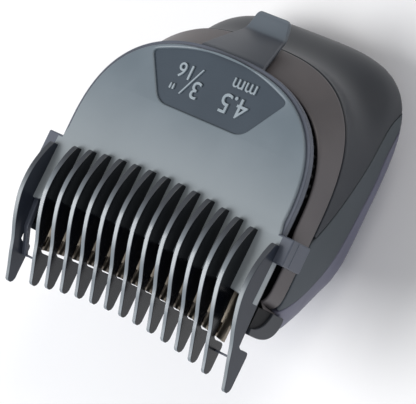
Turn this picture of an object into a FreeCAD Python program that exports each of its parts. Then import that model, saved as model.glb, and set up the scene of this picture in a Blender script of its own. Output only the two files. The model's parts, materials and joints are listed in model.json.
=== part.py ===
import FreeCAD, Part
import math
import os
import re

import Sketcher

# Palm-size hair clipper, lying on its palm side with the guide comb uppermost.
# Frame: millimetres, +Z up out of the comb plate, +Y towards the thumb tab,
# teeth towards -Y, origin on the flat patch of the palm side.

DRIVING_SIZES = {
    # whole body
    "plate_top": 40.5,              # comb plate's top face above the palm face
    "waist_y": 4.0,                 # where the rounded rear starts
    "widest_height": 10.5,
    "body_half": 32.8,
    "body_rear": 38.0,
    "body_rear_power": 3.6,
    "nose_front": -30.9,
    "nose_height": 21.9,
    "nose_power": 13.0,
    "nose_slope": 1.2,
    "rest_half": 13.5,              # the flat patch that the body lies on
    "rest_rear": 32.0,
    "rest_front": -8.0,
    "rest_power": 2.4,
    "shoulder_ease": 4.0,           # how late the shoulders swell below the band
    "belly_power": 1.5,
    "cheek_y": -9.0,                # the flanks narrow in front of this line
    "cheek_taper": 0.002,
    "wall": 2.2,
    "seam": 0.24,                   # groove between neighbouring shells
    # head band
    "deck_gap": 2.2,                # dark gap between comb rim and band
    "band_height": 7.0,
    "band_half": 33.75,
    "band_flare": 0.65,
    "band_rear": 22.5,
    "band_rear_flare": 6.9,
    "band_front": -26.55,
    "band_waist": -6.75,
    "band_power": 2.55,
    "band_low_waist": -8.0,
    "band_low_power": 2.9,
    "band_front_power": 14.0,
    # lines where the shells meet on the side of the body
    "shoulder_start_y": -9.0,
    "shoulder_middle_y": 13.5,
    "shoulder_middle_height": 19.6,
    "shoulder_end_y": 25.9,
    "shoulder_end_height": 15.2,
    "palm_start_y": -26.4,
    "palm_quarter_y": -9.0,
    "palm_quarter_height": 15.0,
    "palm_half_y": 7.9,
    "palm_half_height": 12.6,
    "palm_end_height": 14.6,
    # guide comb
    "plate_thickness": 2.5,
    "rim_chamfer": 0.6,
    "tooth_pitch": 4.5,
    "tooth_thickness": 1.5,
    "tooth_root": -9.0,
    "tooth_root_radius": 165.0,
    "tooth_tip": -42.4,
    "tooth_tip_radius": 128.0,
    "tooth_crest": 4.7,
    "tooth_drop": 5.3,
    "tooth_blunt": 0.9,
    "tooth_nub": 0.9,               # clearance in front of the blade's points
    "outer_nub": -36.6,
    "plate_front": -23.5,
    "plate_front_corner": -26.4,
    "flank_step": 0.95,
    "ear_rear": -10.0,
    "ear_front": -16.3,
    "ear_thickness": 2.5,
    "ear_height": 7.8,
    "ear_clearance": 0.45,
    "brace_width": 1.1,
    "bar_thickness": 0.8,
    "bar_height": 1.2,
    "bar_drop": 6.9,
    "bar_y": -39.6,
    "strap_half": 9.8,
    "knee_half": 5.8,
    "tab_half": 4.7,
    "strap_thickness": 1.35,
    "knee_y": 30.9,
    "knee_drop": 9.6,
    "tab_length": 4.8,
    "recess_depth": 0.5,
    "recess_rear": 21.2,
    "recess_side": 19.6,
    "recess_side_y": 16.8,
    "recess_front": 6.2,
    "recess_front_half": 11.8,
    # black deck under the comb
    "deck_inset": 1.2,
    "deck_clearance": 0.4,
    "deck_front": -17.2,
    "serration_radius": 0.55,
    "serration_pitch": 2.25,
    # blades
    "blade_inset": 4.5,             # blade edge inside the band's side
    "blade_drop": 4.0,              # fixed blade's top under the plate's top
    "blade_thickness": 1.0,
    "blade_play": 0.05,
    "blade_tip": -34.2,
    "blade_tip_radius": 165.0,
    "blade_rear": -17.6,
    "blade_tooth_pitch": 1.5,
    "blade_slot": 0.6,
    "blade_tooth_length": 3.4,
    "cutter_setback": 0.8,
    "cutter_rear": -21.4,
    "cutter_travel": 1.2,
    "carrier_bottom_gap": 1.9,
    "carrier_front": -28.8,
    "cap_inner": 29.9,
    "cap_front": -31.5,
    "cap_depth": 5.7,
    "chin_front": -32.5,
    "chin_height": 10.5,
    "chin_round": 3.6,
    "blade_screw_x": 18.0,
    "blade_screw_y": -19.7,
    "spring_x": 19.0,
    "spring_width": 9.0,
    "spring_thickness": 0.3,
    # drive
    "motor_height": 24.5,
    "motor_radius": 9.0,
    "motor_wall": 1.0,
    "motor_front": -12.0,
    "motor_length": 24.0,
    "magnet_thickness": 1.0,
    "air_gap": 0.5,
    "endcap_thickness": 1.6,
    "bush_radius": 3.0,
    "bush_length": 1.6,
    "shaft_radius": 1.0,
    "running_clearance": 0.03,
    "bracket_thickness": 1.5,
    "bracket_half": 12.0,
    "motor_screw_offset": 6.0,
    "cam_radius": 3.4,
    "cam_length": 2.4,
    "cam_gap": 1.6,
    "cam_throw": 1.2,
    "cam_pin_radius": 1.0,
    "cam_pin_length": 5.2,
    "yoke_thickness": 2.2,
    "yoke_leg": 2.0,
    "yoke_clearance": 0.3,
    "yoke_drop": 2.6,
    "yoke_plate": 1.0,
    # battery cells and chassis
    "chassis_height": 9.4,
    "chassis_thickness": 1.2,
    "chassis_front": -21.0,
    "chassis_rear": 22.5,
    "frame_thickness": 1.0,
    "frame_bottom": 12.5,
    "cell_x": 18.6,
    "cell_radius": 5.2,
    "cell_front": -17.0,
    "cell_length": 38.0,
    "cradle_wall": 0.8,
    "cell_clearance": 0.1,
    "cell_tab": 0.3,
    # board, button, light and socket
    "board_half": 16.0,
    "board_front": -4.0,
    "board_rear": 18.0,
    "board_height": 6.4,
    "board_thickness": 1.6,
    "button_y": 4.5,
    "button_radius": 8.0,
    "button_recess": 0.9,
    "button_clearance": 0.25,
    "button_travel": 0.6,
    "button_flange": 0.8,
    "ring_width": 1.8,
    "switch_size": 6.2,
    "switch_height": 1.5,
    "plunger_radius": 1.6,
    "led_y": 16.0,
    "led_radius": 1.4,
    "socket_height": 8.0,
    "socket_radius": 3.6,
    "socket_bore": 1.75,
    "socket_front": 25.0,
    "socket_setback": 1.4,
    # screws
    "screw_rear_x": 15.5,
    "screw_rear_y": 20.5,
    "screw_front_x": 15.0,
    "screw_front_y": -9.5,
    "screw_radius": 1.1,
    "screw_head_radius": 2.2,
    "screw_head_height": 1.6,
    "screw_boss_radius": 3.3,
    "screw_recess": 4.2,
    "screw_length": 9.0,
}

OUTLINE_POINTS = 56
TOOTH_NUMBERS = range(-6, 7)
# A tooth's ridge: share of its length, share of its crest height.
TOOTH_RIDGE = [(0.10, 0.56), (0.30, 1.0), (0.50, 0.66), (0.70, -0.12)]

doc = FreeCAD.newDocument("hair_clipper")
sheet = doc.addObject("Spreadsheet::Sheet", "sizes")
for row, (alias, value) in enumerate(DRIVING_SIZES.items(), start=1):
    sheet.set(f"A{row}", alias)
    sheet.set(f"B{row}", str(value))
    sheet.setAlias(f"B{row}", alias)
doc.recompute()

nodes = {}


def bound(text):
    """The same expression with each size named as a cell of the sheet."""
    return re.sub(r"[a-z]\w+", lambda word: "sizes." + word[0] if word[0] in DRIVING_SIZES else word[0], text)


def mm(text):
    """The present value of an expression in the sheet's sizes."""
    return float(sheet.evalExpression(text))


def bind(item, properties):
    for name, text in properties.items():
        item.setExpression(name, bound(text))


def keep(name, item):
    item.Label = name
    nodes[name] = item
    return item


def place(item, x="0", y="0", z="0"):
    bind(item, {"Placement.Base.x": x, "Placement.Base.y": y, "Placement.Base.z": z})
    return item


def box(name, length, width, height, x, y, z):
    item = doc.addObject("Part::Box", name)
    bind(item, {"Length": length, "Width": width, "Height": height})
    return place(item, x, y, z)


AXIS_TURNS = {
    "x": FreeCAD.Rotation(FreeCAD.Vector(0, 1, 0), 90),
    "y": FreeCAD.Rotation(FreeCAD.Vector(1, 0, 0), -90),
    "z": FreeCAD.Rotation(),
}


def rod(name, radius, length, x, y, z, axis="z"):
    """A cylinder that starts at x, y, z and runs along +axis."""
    item = doc.addObject("Part::Cylinder", name)
    item.Placement = FreeCAD.Placement(FreeCAD.Vector(), AXIS_TURNS[axis])
    bind(item, {"Radius": radius, "Height": length})
    return place(item, x, y, z)


def cut(name, base, *tools):
    item = doc.addObject("Part::Cut", name)
    item.Base = base
    item.Tool = tools[0] if len(tools) == 1 else fuse(name + "_cutters", *tools)
    return item


def fuse(name, *shapes):
    item = doc.addObject("Part::MultiFuse", name)
    item.Shapes = list(shapes)
    return item


def group(name, *shapes):
    """Separate solids that share one node."""
    item = doc.addObject("Part::Compound", name)
    item.Links = list(shapes)
    return item


def feature(name, shape):
    item = doc.addObject("Part::Feature", name)
    item.Shape = shape
    return item


def point(x, y, z):
    return FreeCAD.Vector(x, y, z)


def sketch(body, name, plane, corners):
    """A closed outline whose corners are dimensioned from the origin."""
    item = body.newObject("Sketcher::SketchObject", name)
    origin_plane = next(f for f in body.Origin.OriginFeatures if f.Role == plane)
    item.AttachmentSupport = [(origin_plane, "")]
    item.MapMode = "FlatFace"
    spots = [point(mm(across), mm(up), 0) for across, up in corners]
    for here, there in zip(spots, spots[1:] + spots[:1]):
        item.addGeometry(Part.LineSegment(here, there), False)
    for number, (across, up) in enumerate(corners):
        before = (number - 1) % len(corners)
        item.addConstraint(Sketcher.Constraint("Coincident", before, 2, number, 1))
    for number, (across, up) in enumerate(corners):
        for direction, text in (("DistanceX", across), ("DistanceY", up)):
            value = mm(text)
            rule = Sketcher.Constraint(direction, -1, 1, number, 1, value)
            index = item.addConstraint(rule)
            item.setExpression(f"Constraints[{index}]", bound(text))
    return item


def padded(name, plane, corners, depth, offset="0"):
    """A PartDesign body: an outline padded by depth from an origin plane moved by offset."""
    body = doc.addObject("PartDesign::Body", name)
    outline_sketch = sketch(body, name + "_outline", plane, corners)
    bind(outline_sketch, {"AttachmentOffset.Base.z": offset})
    pad = body.newObject("PartDesign::Pad", name + "_pad")
    pad.Profile = outline_sketch
    bind(pad, {"Length": depth})
    body.Tip = pad
    return body


# ---------------------------------------------------------------- body form

BAND_TOP = "(plate_top - plate_thickness - deck_gap)"
BAND_BOTTOM = "(plate_top - plate_thickness - deck_gap - band_height)"
band_top = mm(BAND_TOP)
band_bottom = mm(BAND_BOTTOM)


def blend(low, high, share):
    return low + (high - low) * share


def form_level(height):
    """Half width, rear, front, waist and the two roundness powers of the body at one height."""
    band_half_low = mm("band_half + band_flare")
    band_rear_low = mm("band_rear + band_rear_flare")
    if height >= band_bottom:
        share = (height - band_bottom) / mm("band_height")
        half = blend(band_half_low, mm("band_half"), share)
        rear = blend(band_rear_low, mm("band_rear"), share)
        waist = blend(mm("band_low_waist"), mm("band_waist"), share)
        power = blend(mm("band_low_power"), mm("band_power"), share)
        return half, rear, mm("band_front"), waist, power, mm("band_front_power")
    if height >= mm("widest_height"):
        share = (band_bottom - height) / (band_bottom - mm("widest_height"))
        ease = math.sin(math.pi / 2 * share) ** mm("shoulder_ease")
        half = blend(band_half_low, mm("body_half"), ease)
        rear = blend(band_rear_low, mm("body_rear"), ease)
        waist = blend(mm("band_low_waist"), mm("waist_y"), ease)
        rear_power = blend(mm("band_low_power"), mm("body_rear_power"), ease)
    else:
        share = (mm("widest_height") - height) / mm("widest_height")
        belly = mm("belly_power")
        ease = (1 - share**belly) ** (1 / belly)
        half = blend(mm("rest_half"), mm("body_half"), ease)
        rear = blend(mm("rest_rear"), mm("body_rear"), ease)
        waist = mm("waist_y")
        rear_power = blend(mm("rest_power"), mm("body_rear_power"), ease)
    if height >= mm("nose_height"):
        share = (band_bottom - height) / (band_bottom - mm("nose_height"))
        ease = math.sin(math.pi / 2 * share)
        front = blend(mm("band_front"), mm("nose_front"), ease)
        front_power = blend(mm("band_front_power"), mm("nose_power"), ease)
    else:
        share = (mm("nose_height") - height) / mm("nose_height")
        slope = (1 - share ** mm("nose_slope")) ** (1 / mm("nose_slope"))
        front = blend(mm("rest_front"), mm("nose_front"), slope)
        front_power = blend(mm("rest_power"), mm("nose_power"), slope**2)
    return half, rear, front, waist, rear_power, front_power


def superellipse(half, rear, front, waist, rear_power, front_power, height):
    """Points round a rounded outline: one power behind the waist, another before it."""
    points = []
    for number in range(OUTLINE_POINTS):
        angle = 2 * math.pi * number / OUTLINE_POINTS
        across, along = math.cos(angle), math.sin(angle)
        reach = rear - waist if along >= 0 else waist - front
        power = rear_power if along >= 0 else front_power
        size = (abs(across / half) ** power + abs(along / reach) ** power) ** (-1 / power)
        points.append(point(size * across, waist + size * along, height))
    return points


def tapered(spot):
    """Draw a point in towards the middle where the flanks narrow to the nose."""
    depth = min(1.0, max(0.0, (band_bottom - spot.z) / mm("band_height + deck_gap")))
    ahead = max(0.0, mm("cheek_y") - spot.y)
    return point(spot.x * (1 - mm("cheek_taper") * depth * ahead), spot.y, spot.z)


def outline(height, inset):
    half, rear, front, waist, rear_power, front_power = form_level(height)
    spots = superellipse(
        half - inset, rear - inset, front + inset, waist, rear_power, front_power, height
    )
    spots = [tapered(spot) for spot in spots]
    curve = Part.BSplineCurve()
    curve.interpolate(spots, PeriodicFlag=True)
    return Part.Wire([curve.toShape()])


def form(inset, low, high, steps):
    """The body's form between two heights, drawn in from its skin by inset."""
    heights = [blend(low, high, number / steps) for number in range(steps + 1)]
    return Part.makeLoft([outline(height, inset) for height in heights], True, False)


def housing_form(inset, low):
    """The part under the head band; its levels crowd together near the palm face."""
    span = mm("widest_height") - low
    angles = [math.pi / 2 * number / 6 for number in range(7)]
    heights = [low + span * (1 - math.cos(angle)) for angle in angles]
    heights += [blend(mm("widest_height"), mm("nose_height"), number / 5) for number in range(1, 6)]
    heights += [blend(mm("nose_height"), band_bottom, number / 4) for number in range(1, 5)]
    return Part.makeLoft([outline(height, inset) for height in heights], True, False)


def side_region(corners, left, right):
    """A side-view outline carried across the body from left to right."""
    spots = [point(left, y, z) for y, z in corners]
    wire = Part.makePolygon(spots + spots[:1])
    return Part.Face(wire).extrude(point(right - left, 0, 0))


def palm_line(raise_by):
    """Points along the edge of the palm cover, in side view."""
    ends = [
        (mm("palm_start_y"), band_bottom),
        (mm("palm_quarter_y"), mm("palm_quarter_height")),
        (mm("palm_half_y"), mm("palm_half_height")),
        (mm("shoulder_end_y"), mm("palm_end_height")),
    ]
    curve = Part.BSplineCurve()
    curve.interpolate([point(0, y, z) for y, z in ends])
    samples = curve.discretize(13)
    return [(spot.y, spot.z + raise_by) for spot in samples]


housing = housing_form(0.0, 0.0)
cavity = housing_form(mm("wall"), mm("wall"))
housing_wall = housing.cut(cavity)
half_seam = mm("seam / 2")
far = mm("body_half + body_rear")
shoulder_edge = [
    (mm("shoulder_start_y"), band_bottom),
    (mm("shoulder_middle_y"), mm("shoulder_middle_height")),
    (mm("shoulder_end_y"), mm("shoulder_end_height")),
]

# Shoulder shell: the rear upper shell, above a line that falls towards the rear.
shoulder_region = side_region(
    [
        (shoulder_edge[0][0], band_bottom - half_seam),
        (shoulder_edge[1][0], shoulder_edge[1][1] + half_seam),
        (shoulder_edge[2][0], shoulder_edge[2][1] + half_seam),
        (far, mm("palm_end_height") + half_seam),
        (far, band_bottom - half_seam),
    ],
    -far,
    far,
)
socket_hole = Part.makeCylinder(
    mm("socket_radius"), far, point(0, mm("socket_front"), mm("socket_height")), point(0, 1, 0)
)
keep("shoulder_shell", feature("shoulder_shell", housing_wall.common(shoulder_region)))

# Side grips: a lens-shaped panel on each flank.
palm_edge = palm_line(half_seam)
grip_top = [
    (shoulder_edge[2][0], shoulder_edge[2][1] - half_seam),
    (shoulder_edge[1][0], shoulder_edge[1][1] - half_seam),
    (shoulder_edge[0][0], band_bottom - half_seam),
]
grip_corners = [spot for spot in palm_edge if spot[1] < band_bottom - half_seam] + grip_top
for side, name in ((1, "side_grip_right"), (-1, "side_grip_left")):
    region = side_region(grip_corners, 0, side * far)
    keep(name, feature(name, housing_wall.common(region)))

# Palm cover: the domed lower shell with its screw bosses.
palm_corners = palm_line(-half_seam)
palm_region = side_region(
    [(-far, -1), (-far, band_bottom - half_seam)]
    + [(mm("palm_start_y"), band_bottom - half_seam)]
    + [spot for spot in palm_corners if spot[1] < band_bottom - half_seam]
    + [(far, mm("palm_end_height") - half_seam), (far, -1)],
    -far,
    far,
)
screw_spots = [
    (side * mm(across), mm(along))
    for across, along in (("screw_rear_x", "screw_rear_y"), ("screw_front_x", "screw_front_y"))
    for side in (-1, 1)
]
palm_shape = housing_wall.common(palm_region)
for x, y in screw_spots:
    boss = Part.makeCylinder(mm("screw_boss_radius"), mm("chassis_height"), point(x, y, 0))
    palm_shape = palm_shape.fuse(boss.common(housing))
for x, y in screw_spots:
    well = Part.makeCylinder(mm("screw_head_radius + 0.3"), mm("screw_recess"), point(x, y, 0))
    hole = Part.makeCylinder(mm("screw_radius + 0.25"), mm("chassis_height"), point(x, y, 0))
    palm_shape = palm_shape.cut(well.fuse(hole))
for radius, y in (("button_radius + ring_width", "button_y"), ("led_radius", "led_y")):
    opening = Part.makeCylinder(mm(radius), mm("2 * wall"), point(0, mm(y), mm("-wall / 2")))
    palm_shape = palm_shape.cut(opening)
keep("palm_cover", feature("palm_cover", palm_shape.cut(socket_hole)))

# Mid frame: a black ring inside the shells that backs every seam.
frame_top = band_bottom + mm("seam")
frame_outer = housing_form(mm("wall"), mm("wall")).fuse(form(mm("wall"), band_bottom, frame_top, 1))
frame_inner = housing_form(mm("wall + frame_thickness"), mm("wall + frame_thickness"))
frame_inner = frame_inner.fuse(form(mm("wall + frame_thickness"), band_bottom, frame_top, 1))
frame_slab = Part.makeBox(
    2 * far, 2 * far, frame_top - mm("frame_bottom"), point(-far, -far, mm("frame_bottom"))
)
yoke_window = Part.makeBox(16, mm("waist_y - nose_front"), 2 * far, point(-8, mm("nose_front"), mm("frame_bottom + 1.5")))
frame_shape = frame_outer.cut(frame_inner).common(frame_slab).cut(yoke_window)
keep("mid_frame", feature("mid_frame", frame_shape))

# Chassis: a plate that carries the motor and the cells, standing on the palm cover's bosses.
chassis_slab = Part.makeBox(
    2 * far,
    mm("chassis_rear - chassis_front"),
    mm("chassis_thickness"),
    point(-far, mm("chassis_front"), mm("chassis_height")),
)
chassis_shape = cavity.common(chassis_slab)
for x, y in screw_spots:
    shank = Part.makeCylinder(mm("screw_radius"), mm("4 * screw_length"), point(x, y, 0))
    chassis_shape = chassis_shape.cut(shank)
keep("chassis", feature("chassis", chassis_shape))


# ---------------------------------------------------------------- head

def deck_outline(inset, height, front):
    """The rounded outline of comb plate and deck: superellipse behind, straight sides before."""
    spots = superellipse(
        mm("band_half") - inset, mm("band_rear") - inset, mm("band_front"), mm("band_waist"),
        mm("band_power"), 2, height,
    )
    rear_spots = spots[: OUTLINE_POINTS // 2 + 1]
    curve = Part.BSplineCurve()
    curve.interpolate(rear_spots)
    left, right = rear_spots[-1], rear_spots[0]
    corners = [left, point(left.x, front, height), point(right.x, front, height), right]
    return Part.Wire([curve.toShape()] + Part.makePolygon(corners).Edges)


def slab(wire, thickness):
    return Part.Face(wire).extrude(point(0, 0, thickness))


# Head bezel: the flared band round the head, open at the front for the blade carrier.
band_solid = form(0.0, band_bottom + half_seam, band_top, 2)
band_hollow = form(mm("wall"), band_bottom, band_top + half_seam, 2)
front_gap = Part.makeBox(
    mm("2 * (band_half - wall)"),
    mm("deck_front - 2 * band_front"),
    mm("2 * band_height"),
    point(mm("wall - band_half"), mm("2 * band_front"), band_bottom - mm("band_height / 2")),
)
keep("head_bezel", feature("head_bezel", band_solid.cut(band_hollow).cut(front_gap)))

# Head deck: the black plate that the comb sits over, with a serrated rim.
deck_height = mm("deck_gap - deck_clearance")
deck_shape = slab(deck_outline(mm("deck_inset"), band_top, mm("deck_front")), deck_height)
rail_width = mm("blade_inset - deck_inset - 0.4")
for side in (-1, 1):
    near = side * mm("band_half - deck_inset") - (rail_width if side > 0 else 0)
    rail = Part.makeBox(
        rail_width,
        mm("deck_front - band_front - 0.6"),
        deck_height,
        point(near, mm("band_front + 0.6"), band_top),
    )
    deck_shape = deck_shape.fuse(rail)
rim = deck_outline(mm("deck_inset"), band_top, mm("deck_front")).Edges[0]
for spot in rim.discretize(Distance=mm("serration_pitch"))[3:-3]:
    bump = Part.makeCylinder(mm("serration_radius"), deck_height, spot)
    deck_shape = deck_shape.fuse(bump)
keep("head_deck", feature("head_deck", deck_shape.removeSplitter()))

# Blade carrier: black block under the blades, with quarter-round end caps.
BLADE_TOP = "(plate_top - blade_drop)"
FIXED_BOTTOM = f"({BLADE_TOP} - blade_thickness)"
CUTTER_TOP = f"({FIXED_BOTTOM} - blade_play)"
CUTTER_BOTTOM = f"({CUTTER_TOP} - blade_thickness)"
CARRIER_TOP = f"({CUTTER_BOTTOM} - blade_play)"
CARRIER_BOTTOM = f"({BAND_BOTTOM} + carrier_bottom_gap)"
CARRIER_HALF = "(band_half - wall - 0.1)"
YOKE_HALF = "(cam_pin_radius + cam_throw + cutter_travel + yoke_clearance + yoke_leg)"
YOKE_FRONT = "(cutter_rear - 0.2 - yoke_thickness)"


carrier_parts = [
    box(
        "carrier_block", f"2 * {CARRIER_HALF}", "deck_front - carrier_front - 0.1",
        f"{CARRIER_TOP} - {CARRIER_BOTTOM}", f"-{CARRIER_HALF}", "carrier_front", CARRIER_BOTTOM,
    ),
    box(
        "carrier_ledge", "2 * (band_half - blade_inset)", "deck_front - cutter_rear - 0.4",
        f"{FIXED_BOTTOM} - {CARRIER_TOP}", "blade_inset - band_half", "cutter_rear + 0.3", CARRIER_TOP,
    ),
]
CAP_TOP = f"({BAND_TOP} + 1)"
CHIN_HALF = "(band_half + 0.5)"


def end_caps(name, radius_y, radius_z, inner, outer):
    """A quarter of an elliptic disc at each end, in side view below and before its corner."""
    caps = []
    for side, label in ((-1, "left"), (1, "right")):
        centre = point(side * mm(inner), mm("band_front"), mm(CAP_TOP))
        span = side * (mm(outer) - mm(inner))
        front, low = mm(radius_y), mm(radius_z)
        middle = math.sqrt(0.5)
        start = centre + point(0, -front, 0)
        bend = centre + point(0, -front * middle, -low * middle)
        end = centre + point(0, 0, -low)
        arc = Part.Arc(start, bend, end).toShape()
        wire = Part.Wire([Part.makeLine(centre, start), arc, Part.makeLine(end, centre)])
        caps.append(feature(f"{name}_{label}", Part.Face(wire).extrude(point(span, 0, 0))))
    return caps


carrier_caps = end_caps("carrier_cap", "band_front - cap_front", "cap_depth", "cap_inner", CHIN_HALF)
yoke_slot = box(
    "yoke_slot", f"2 * ({YOKE_HALF} + cutter_travel + 0.4)", "yoke_thickness + 1.4",
    f"2 * ({CARRIER_TOP} - {CARRIER_BOTTOM})", f"-({YOKE_HALF} + cutter_travel + 0.4)",
    f"{YOKE_FRONT} - 0.7", f"{CARRIER_BOTTOM} - 1",
)
spring_slots = [
    box(
        f"spring_slot_{label}", "spring_width + 0.6", "4.6", "1.6",
        f"{side} * spring_x - spring_width / 2 - 0.3", "carrier_front + 1", f"{CARRIER_TOP} - 1.3",
    )
    for side, label in ((-1, "left"), (1, "right"))
]
screw_holes = [
    rod(
        f"carrier_hole_{label}", "screw_radius", f"{FIXED_BOTTOM} - {CARRIER_BOTTOM} + 1",
        f"{side} * blade_screw_x", "blade_screw_y", f"{CARRIER_BOTTOM} - 0.5",
    )
    for side, label in ((-1, "left"), (1, "right"))
]
carrier_solid = fuse("carrier_solid", *carrier_parts, *carrier_caps)
keep("blade_carrier", cut("blade_carrier", carrier_solid, yoke_slot, *spring_slots, *screw_holes))

# Chin guard: the grey lip that wraps the carrier's caps from below.
chin_low = mm(f"{CAP_TOP} - chin_height")
chin_front = mm("chin_front")
chin_rear = mm("band_front")
round_size = mm("chin_round")


def chin_section(left, right):
    corner = round_size * (1 - math.sqrt(0.5))
    start = point(left, chin_front, mm(CAP_TOP))
    upper = point(left, chin_front, chin_low + round_size)
    bend = point(left, chin_front + corner, chin_low + corner)
    lower = point(left, chin_front + round_size, chin_low)
    rear_low = point(left, chin_rear, chin_low)
    rear_top = point(left, chin_rear, mm(CAP_TOP))
    edges = [
        Part.makeLine(start, upper),
        Part.Arc(upper, bend, lower).toShape(),
        Part.makeLine(lower, rear_low),
        Part.makeLine(rear_low, rear_top),
        Part.makeLine(rear_top, start),
    ]
    return Part.Face(Part.Wire(edges)).extrude(point(right - left, 0, 0))


chin_half = mm(CHIN_HALF)
chin_shape = chin_section(-chin_half, chin_half)
blade_bay = Part.makeBox(
    mm("2 * cap_inner"),
    mm("band_front - chin_front") + 1,
    mm("chin_height"),
    point(mm("-cap_inner"), mm("chin_front - 1"), mm(CARRIER_BOTTOM)),
)
mouth = Part.makeBox(
    mm("2 * cap_inner"),
    mm("carrier_front - chin_front") + 0.9,
    mm("chin_height"),
    point(mm("-cap_inner"), mm("chin_front - 1"), mm(f"{CARRIER_BOTTOM} - 1.2")),
)
carrier_bay = Part.makeBox(
    mm(f"2 * {CARRIER_HALF} + 0.1"),
    mm("band_front - carrier_front + 0.1"),
    mm("chin_height"),
    point(-mm(f"{CARRIER_HALF} + 0.05"), mm("carrier_front - 0.05"), mm(f"{CARRIER_BOTTOM} - 0.05")),
)
doc.recompute()
chin_shape = chin_shape.cut(blade_bay).cut(carrier_bay).cut(mouth).cut(housing)
for cap in carrier_caps:
    chin_shape = chin_shape.cut(cap.Shape)
chin_shape = chin_shape.cut(form(0.0, band_bottom - half_seam, band_bottom + mm("seam"), 1))
keep("chin_guard", feature("chin_guard", chin_shape))


# ---------------------------------------------------------------- blades

def tip_line(x, tip, radius):
    return tip - x * x / (2 * radius)


def blade(half, tip, rear, bottom):
    """A flat blade with an arched, toothed front edge."""
    radius = mm("blade_tip_radius")
    side = tip_line(half, tip, radius)
    front = Part.Arc(point(-half, side, bottom), point(0, tip, bottom), point(half, side, bottom))
    corners = [point(half, side, bottom), point(half, rear, bottom)]
    corners += [point(-half, rear, bottom), point(-half, side, bottom)]
    wire = Part.Wire([front.toShape()] + Part.makePolygon(corners).Edges)
    solid = Part.Face(wire).extrude(point(0, 0, mm("blade_thickness")))
    pitch = mm("blade_tooth_pitch")
    slot = mm("blade_slot")
    count = int((half - pitch) / pitch)
    cutters = []
    for number in range(-count, count + 1):
        x = number * pitch
        edge = tip_line(x, tip, radius)
        cutters.append(
            Part.makeBox(
                slot,
                mm("blade_tooth_length") + 1,
                mm("2 * blade_thickness"),
                point(x - slot / 2, edge - 1, bottom - mm("blade_thickness / 2")),
            )
        )
    return solid.cut(Part.makeCompound(cutters))


fixed_shape = blade(mm("band_half - blade_inset"), mm("blade_tip"), mm("blade_rear"), mm(FIXED_BOTTOM))
for side in (-1, 1):
    spot = point(side * mm("blade_screw_x"), mm("blade_screw_y"), mm(FIXED_BOTTOM) - 1)
    fixed_shape = fixed_shape.cut(Part.makeCylinder(mm("screw_radius + 0.1"), 4, spot))
keep("fixed_blade", feature("fixed_blade", fixed_shape))

cutter_half = mm("band_half - blade_inset - cutter_travel - 0.6")
cutter_shape = blade(cutter_half, mm("blade_tip + cutter_setback"), mm("cutter_rear"), mm(CUTTER_BOTTOM))
keep("moving_blade", feature("moving_blade", cutter_shape))

blade_screws = []
for side, label in ((-1, "left"), (1, "right")):
    across = f"{side} * blade_screw_x"
    shank_height = f"{BLADE_TOP} - {CARRIER_BOTTOM} - 0.6"
    shank = rod(
        f"blade_screw_shank_{label}", "screw_radius", shank_height, across, "blade_screw_y",
        f"{CARRIER_BOTTOM} + 0.6",
    )
    head = rod(f"blade_screw_head_{label}", "screw_head_radius", "0.9", across, "blade_screw_y", BLADE_TOP)
    blade_screws.append(fuse(f"blade_screw_{label}", shank, head))
keep("blade_screws", group("blade_screws", *blade_screws))

# Leaf springs that press the moving blade up against the fixed one.
springs = []
for side, label in ((-1, "left"), (1, "right")):
    foot = box(
        f"spring_foot_{label}", "spring_width", "1.2", "spring_thickness",
        f"{side} * spring_x - spring_width / 2", "carrier_front + 1.2", f"{CARRIER_TOP} - 1.3",
    )
    riser = box(
        f"spring_riser_{label}", "spring_width", "spring_thickness", "1.25",
        f"{side} * spring_x - spring_width / 2", "carrier_front + 2.2", f"{CARRIER_TOP} - 1.3",
    )
    leaf = box(
        f"spring_leaf_{label}", "spring_width", "2.8", "spring_thickness",
        f"{side} * spring_x - spring_width / 2", "carrier_front + 2.2", f"{CARRIER_TOP} - 0.3",
    )
    springs.append(fuse(f"spring_{label}", foot, riser, leaf))
keep("blade_springs", group("blade_springs", *springs))

# Drive yoke: an inverted fork under the moving blade that straddles the cam pin.
YOKE_INNER = f"({YOKE_HALF} - yoke_leg)"
YOKE_TOP = CUTTER_BOTTOM
YOKE_LOW = "(motor_height - yoke_drop)"
FORK_ROOF = "(motor_height + cam_throw + cam_pin_radius + 0.8)"
yoke = padded(
    "drive_yoke",
    "XZ_Plane",
    [
        (f"-{YOKE_HALF}", YOKE_LOW),
        (f"-{YOKE_INNER}", YOKE_LOW),
        (f"-{YOKE_INNER}", FORK_ROOF),
        (YOKE_INNER, FORK_ROOF),
        (YOKE_INNER, YOKE_LOW),
        (YOKE_HALF, YOKE_LOW),
        (YOKE_HALF, YOKE_TOP),
        (f"-{YOKE_HALF}", YOKE_TOP),
    ],
    "yoke_thickness",
    f"-{YOKE_FRONT} - yoke_thickness",
)
keep("drive_yoke", yoke)

# ---------------------------------------------------------------- motor

MOTOR_REAR = "(motor_front + motor_length)"
can_outer = rod("can_outer", "motor_radius", "motor_length", "0", "motor_front", "motor_height", "y")
can_inner = rod(
    "can_inner", "motor_radius - motor_wall", "motor_length", "0", "motor_front + motor_wall",
    "motor_height", "y",
)
can_mouth = rod("can_mouth", "bush_radius", "2 * motor_wall", "0", "motor_front - 0.5", "motor_height", "y")
keep("motor_can", cut("motor_can", can_outer, can_inner, can_mouth))

magnet_outer = rod(
    "magnet_outer", "motor_radius - motor_wall", "motor_length - 8", "0", "motor_front + 4",
    "motor_height", "y",
)
magnet_bore = rod(
    "magnet_bore", "motor_radius - motor_wall - magnet_thickness", "motor_length", "0",
    "motor_front + 2", "motor_height", "y",
)
magnet_gap = box(
    "magnet_gap", "6", "motor_length", "3 * motor_radius", "-3", "motor_front", "motor_height - 1.5 * motor_radius"
)
keep("motor_magnets", cut("motor_magnets", magnet_outer, magnet_bore, magnet_gap))

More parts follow.
